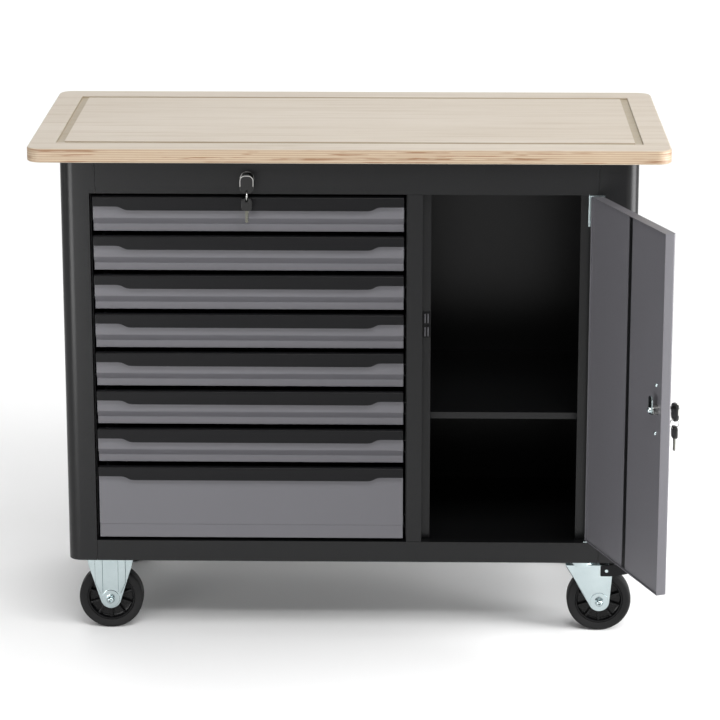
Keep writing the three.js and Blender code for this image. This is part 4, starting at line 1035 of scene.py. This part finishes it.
def catch_poles():
    """Dull grey faces on the four pole strips of the magnetic catch."""
    points = [vert.co for vert in frame["nodes"]["door_catch"].data.vertices]
    front = min(point.y for point in points)
    proud = [point for point in points if point.y < front + FOREMOST]
    across = sorted({round(point.x, POLE_DIGITS) for point in proud})
    along = sorted({round(point.z, POLE_DIGITS) for point in proud})
    half = POLE_THICK / 2
    bm = bmesh.new()
    for left, right in zip(across[::2], across[1::2]):
        for foot, top in zip(along[::2], along[1::2]):
            low, high = Vector((left, front - half, foot)), Vector((right, front + half, top))
            block(bm, low, high, Matrix.Identity(4))
    bevel(bm, bm.edges[:], POLE_ROLL, ROLL_STEPS)
    finished(bm, "catch_poles", "grey_paint", BODY_OF["door_catch"])
    print("poles:", len(across) // 2 * (len(along) // 2))


catch_poles()

# %% [markdown]
# ## Screw heads
# A screw head is a low dome with a round socket. A plain disc would catch the light all over at once.
# Half a section, in widths of the head, is spun on every placing frame, and the points that fall
# together on the axis are merged.

# %% Screw heads
SCREW_HEAD = ((0.0, 0.20), (0.18, 0.20), (0.21, 0.46), (0.34, 0.42), (0.45, 0.28), (0.50, 0.08),
              (0.50, -0.06), (0.0, -0.06))
SCREW_STEPS = 20
SAME_POINT = 1e-6
NO_LENGTH = 1e-7


def screws(name, places, width, finish, body):
    """Socket screw heads, one for every placing frame."""
    bm = bmesh.new()
    section = [(radius * width, height * width) for radius, height in SCREW_HEAD]
    for place in places:
        spun(bm, section, place, SCREW_STEPS, False)
    bmesh.ops.remove_doubles(bm, verts=bm.verts, dist=SAME_POINT)
    bmesh.ops.dissolve_degenerate(bm, dist=NO_LENGTH, edges=bm.edges)
    bmesh.ops.recalc_face_normals(bm, faces=bm.faces)
    finished(bm, name, finish, body)
    print(name, len(places))


print("screw section:", len(SCREW_HEAD), "points")

# %% [markdown]
# ## Screws on the door and its hinge
# The hinge has two screws, the door two beside its lock, and the cam one in its middle. Those on the
# door could be measured on the open door, but they line up with the lock only on a shut one. So they
# are placed on the shut door and swung open with it.

# %% Door screws
HINGE_SCREW = 6.0 * MM
HINGE_SCREW_IN = Vector((6.8, 1.8, 9.0)) * MM
DOOR_SCREW = 8.0 * MM
DOOR_SCREW_OFF = 45.0 * MM
CAM_SCREW = 11.0 * MM
LOCK_AT = SHUT @ Vector(JOINT["door_lock_turn"]["pos_m"])
DOOR_INSIDE = shut_box("door_inner_panel", SWUNG)[1].y - PANEL_DEEPER
CAM_FACE = shut_box("door_lock_cam", SWUNG)[1].y


def on_door(y, z):
    """A placing frame on the door's inner side, in line with its lock."""
    return SWUNG @ facing((LOCK_AT.x, y, z), (0, 1, 0))


hinge_low, hinge_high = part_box("upper_hinge")
hinge_x, hinge_y = hinge_low.x + HINGE_SCREW_IN.x, hinge_high.y - HINGE_SCREW_IN.y
hinge_heads = [facing((hinge_x, hinge_y, z), (0, -1, 0))
               for z in (hinge_low.z + HINGE_SCREW_IN.z, hinge_high.z - HINGE_SCREW_IN.z)]
screws("hinge_screws", hinge_heads, HINGE_SCREW, "zinc", BODY_OF["upper_hinge"])
door_heads = [on_door(DOOR_INSIDE, LOCK_AT.z + off) for off in (-DOOR_SCREW_OFF, DOOR_SCREW_OFF)]
screws("door_screws", door_heads, DOOR_SCREW, "zinc", BODY_OF["door_inner_panel"])
screws("cam_screw", [on_door(CAM_FACE, LOCK_AT.z)], CAM_SCREW, "zinc", BODY_OF["door_lock_cam"])

# %% [markdown]
# ## Bolts of the casters
# Each wheel turns on a bolt with a head at both ends, and each caster hangs on four bolts. They are
# the same turned head at other sizes. Their places could be typed in, but they are read from the
# frame, so that they stay with it if it changes.

# %% Caster bolts
AXLE_CAP = 15.0 * MM
AXLE_NEAR = 12.0 * MM
PLATE_BOLT = 14.0 * MM
PLATE_BOLT_IN = 10.0 * MM


def axle_caps(caster):
    """A socket head over both ends of the axle bolt."""
    low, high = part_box(f"{caster}_tyre")
    middle = (low + high) / 2
    points = [vert.co for vert in frame["nodes"][f"{caster}_fork"].data.vertices]
    near = [point.y for point in points
            if math.hypot(point.x - middle.x, point.z - middle.z) < AXLE_NEAR]
    ends = [facing((middle.x, y, middle.z), (0, side, 0))
            for y, side in ((min(near), -1), (max(near), 1))]
    screws(f"{caster}_axle_caps", ends, AXLE_CAP, "zinc", BODY_OF[f"{caster}_fork"])


def plate_bolts(node):
    """Four bolt heads under the plate that holds a caster to the cabinet."""
    low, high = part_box(node)
    points = [vert.co for vert in frame["nodes"][node].data.vertices]
    # the highest level is the top of the plate, the next one its underside
    under = sorted({round(point.z, DIGITS) for point in points})[-2]
    heads = [facing((x, y, under), (0, 0, -1))
             for x in (low.x + PLATE_BOLT_IN, high.x - PLATE_BOLT_IN)
             for y in (low.y + PLATE_BOLT_IN, high.y - PLATE_BOLT_IN)]
    screws(f"{node}_bolts", heads, PLATE_BOLT, "zinc", BODY_OF[node])


for row in ROWS:
    axle_caps(f"fixed_caster_{row}")
    axle_caps(f"swivel_caster_{row}")
    plate_bolts(f"fixed_caster_{row}_fork")
    plate_bolts(f"swivel_caster_{row}_plate")

# %% [markdown]
# ## Screws of the back
# The back panel is a loose sheet between the sides, and a row of screws holds each of its edges. They
# are painted with the panel. A pattern in the material could draw them flat, but real heads also
# catch the light from the side.

# %% Back screws
BACK_SCREW = 9.0 * MM
BACK_SCREWS = 6
BACK_SCREW_IN = 45.0 * MM
BACK_SCREW_SIDE = 16.0 * MM


def back_screws():
    """A row of painted screws down both edges of the back panel."""
    low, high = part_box("back_panel")
    rise = (high.z - low.z - 2 * BACK_SCREW_IN) / (BACK_SCREWS - 1)
    heads = [facing((x, high.y, low.z + BACK_SCREW_IN + rise * step), (0, 1, 0))
             for x in (low.x + BACK_SCREW_SIDE, high.x - BACK_SCREW_SIDE)
             for step in range(BACK_SCREWS)]
    screws("back_screws", heads, BACK_SCREW, "anthracite_paint", BODY_OF["back_panel"])


back_screws()

# %% [markdown]
# ## The pieces that keep the frame's own shape
# Runner racks, the lock bar and its guide are hidden in the cabinet, and their plain folded shapes
# are right as they are. They could be left in the frame's grey, but they show when a drawer is out,
# so each one gets the finish of its slot.

# %% Pieces with the frame's own shape
kept = [name for name, node in frame["nodes"].items() if not node.hide_render]
for name in kept:
    materials = frame["nodes"][name].data.materials
    materials.clear()
    materials.append(FINISH[SLOT_OF[name]])
print("own shape:", kept)
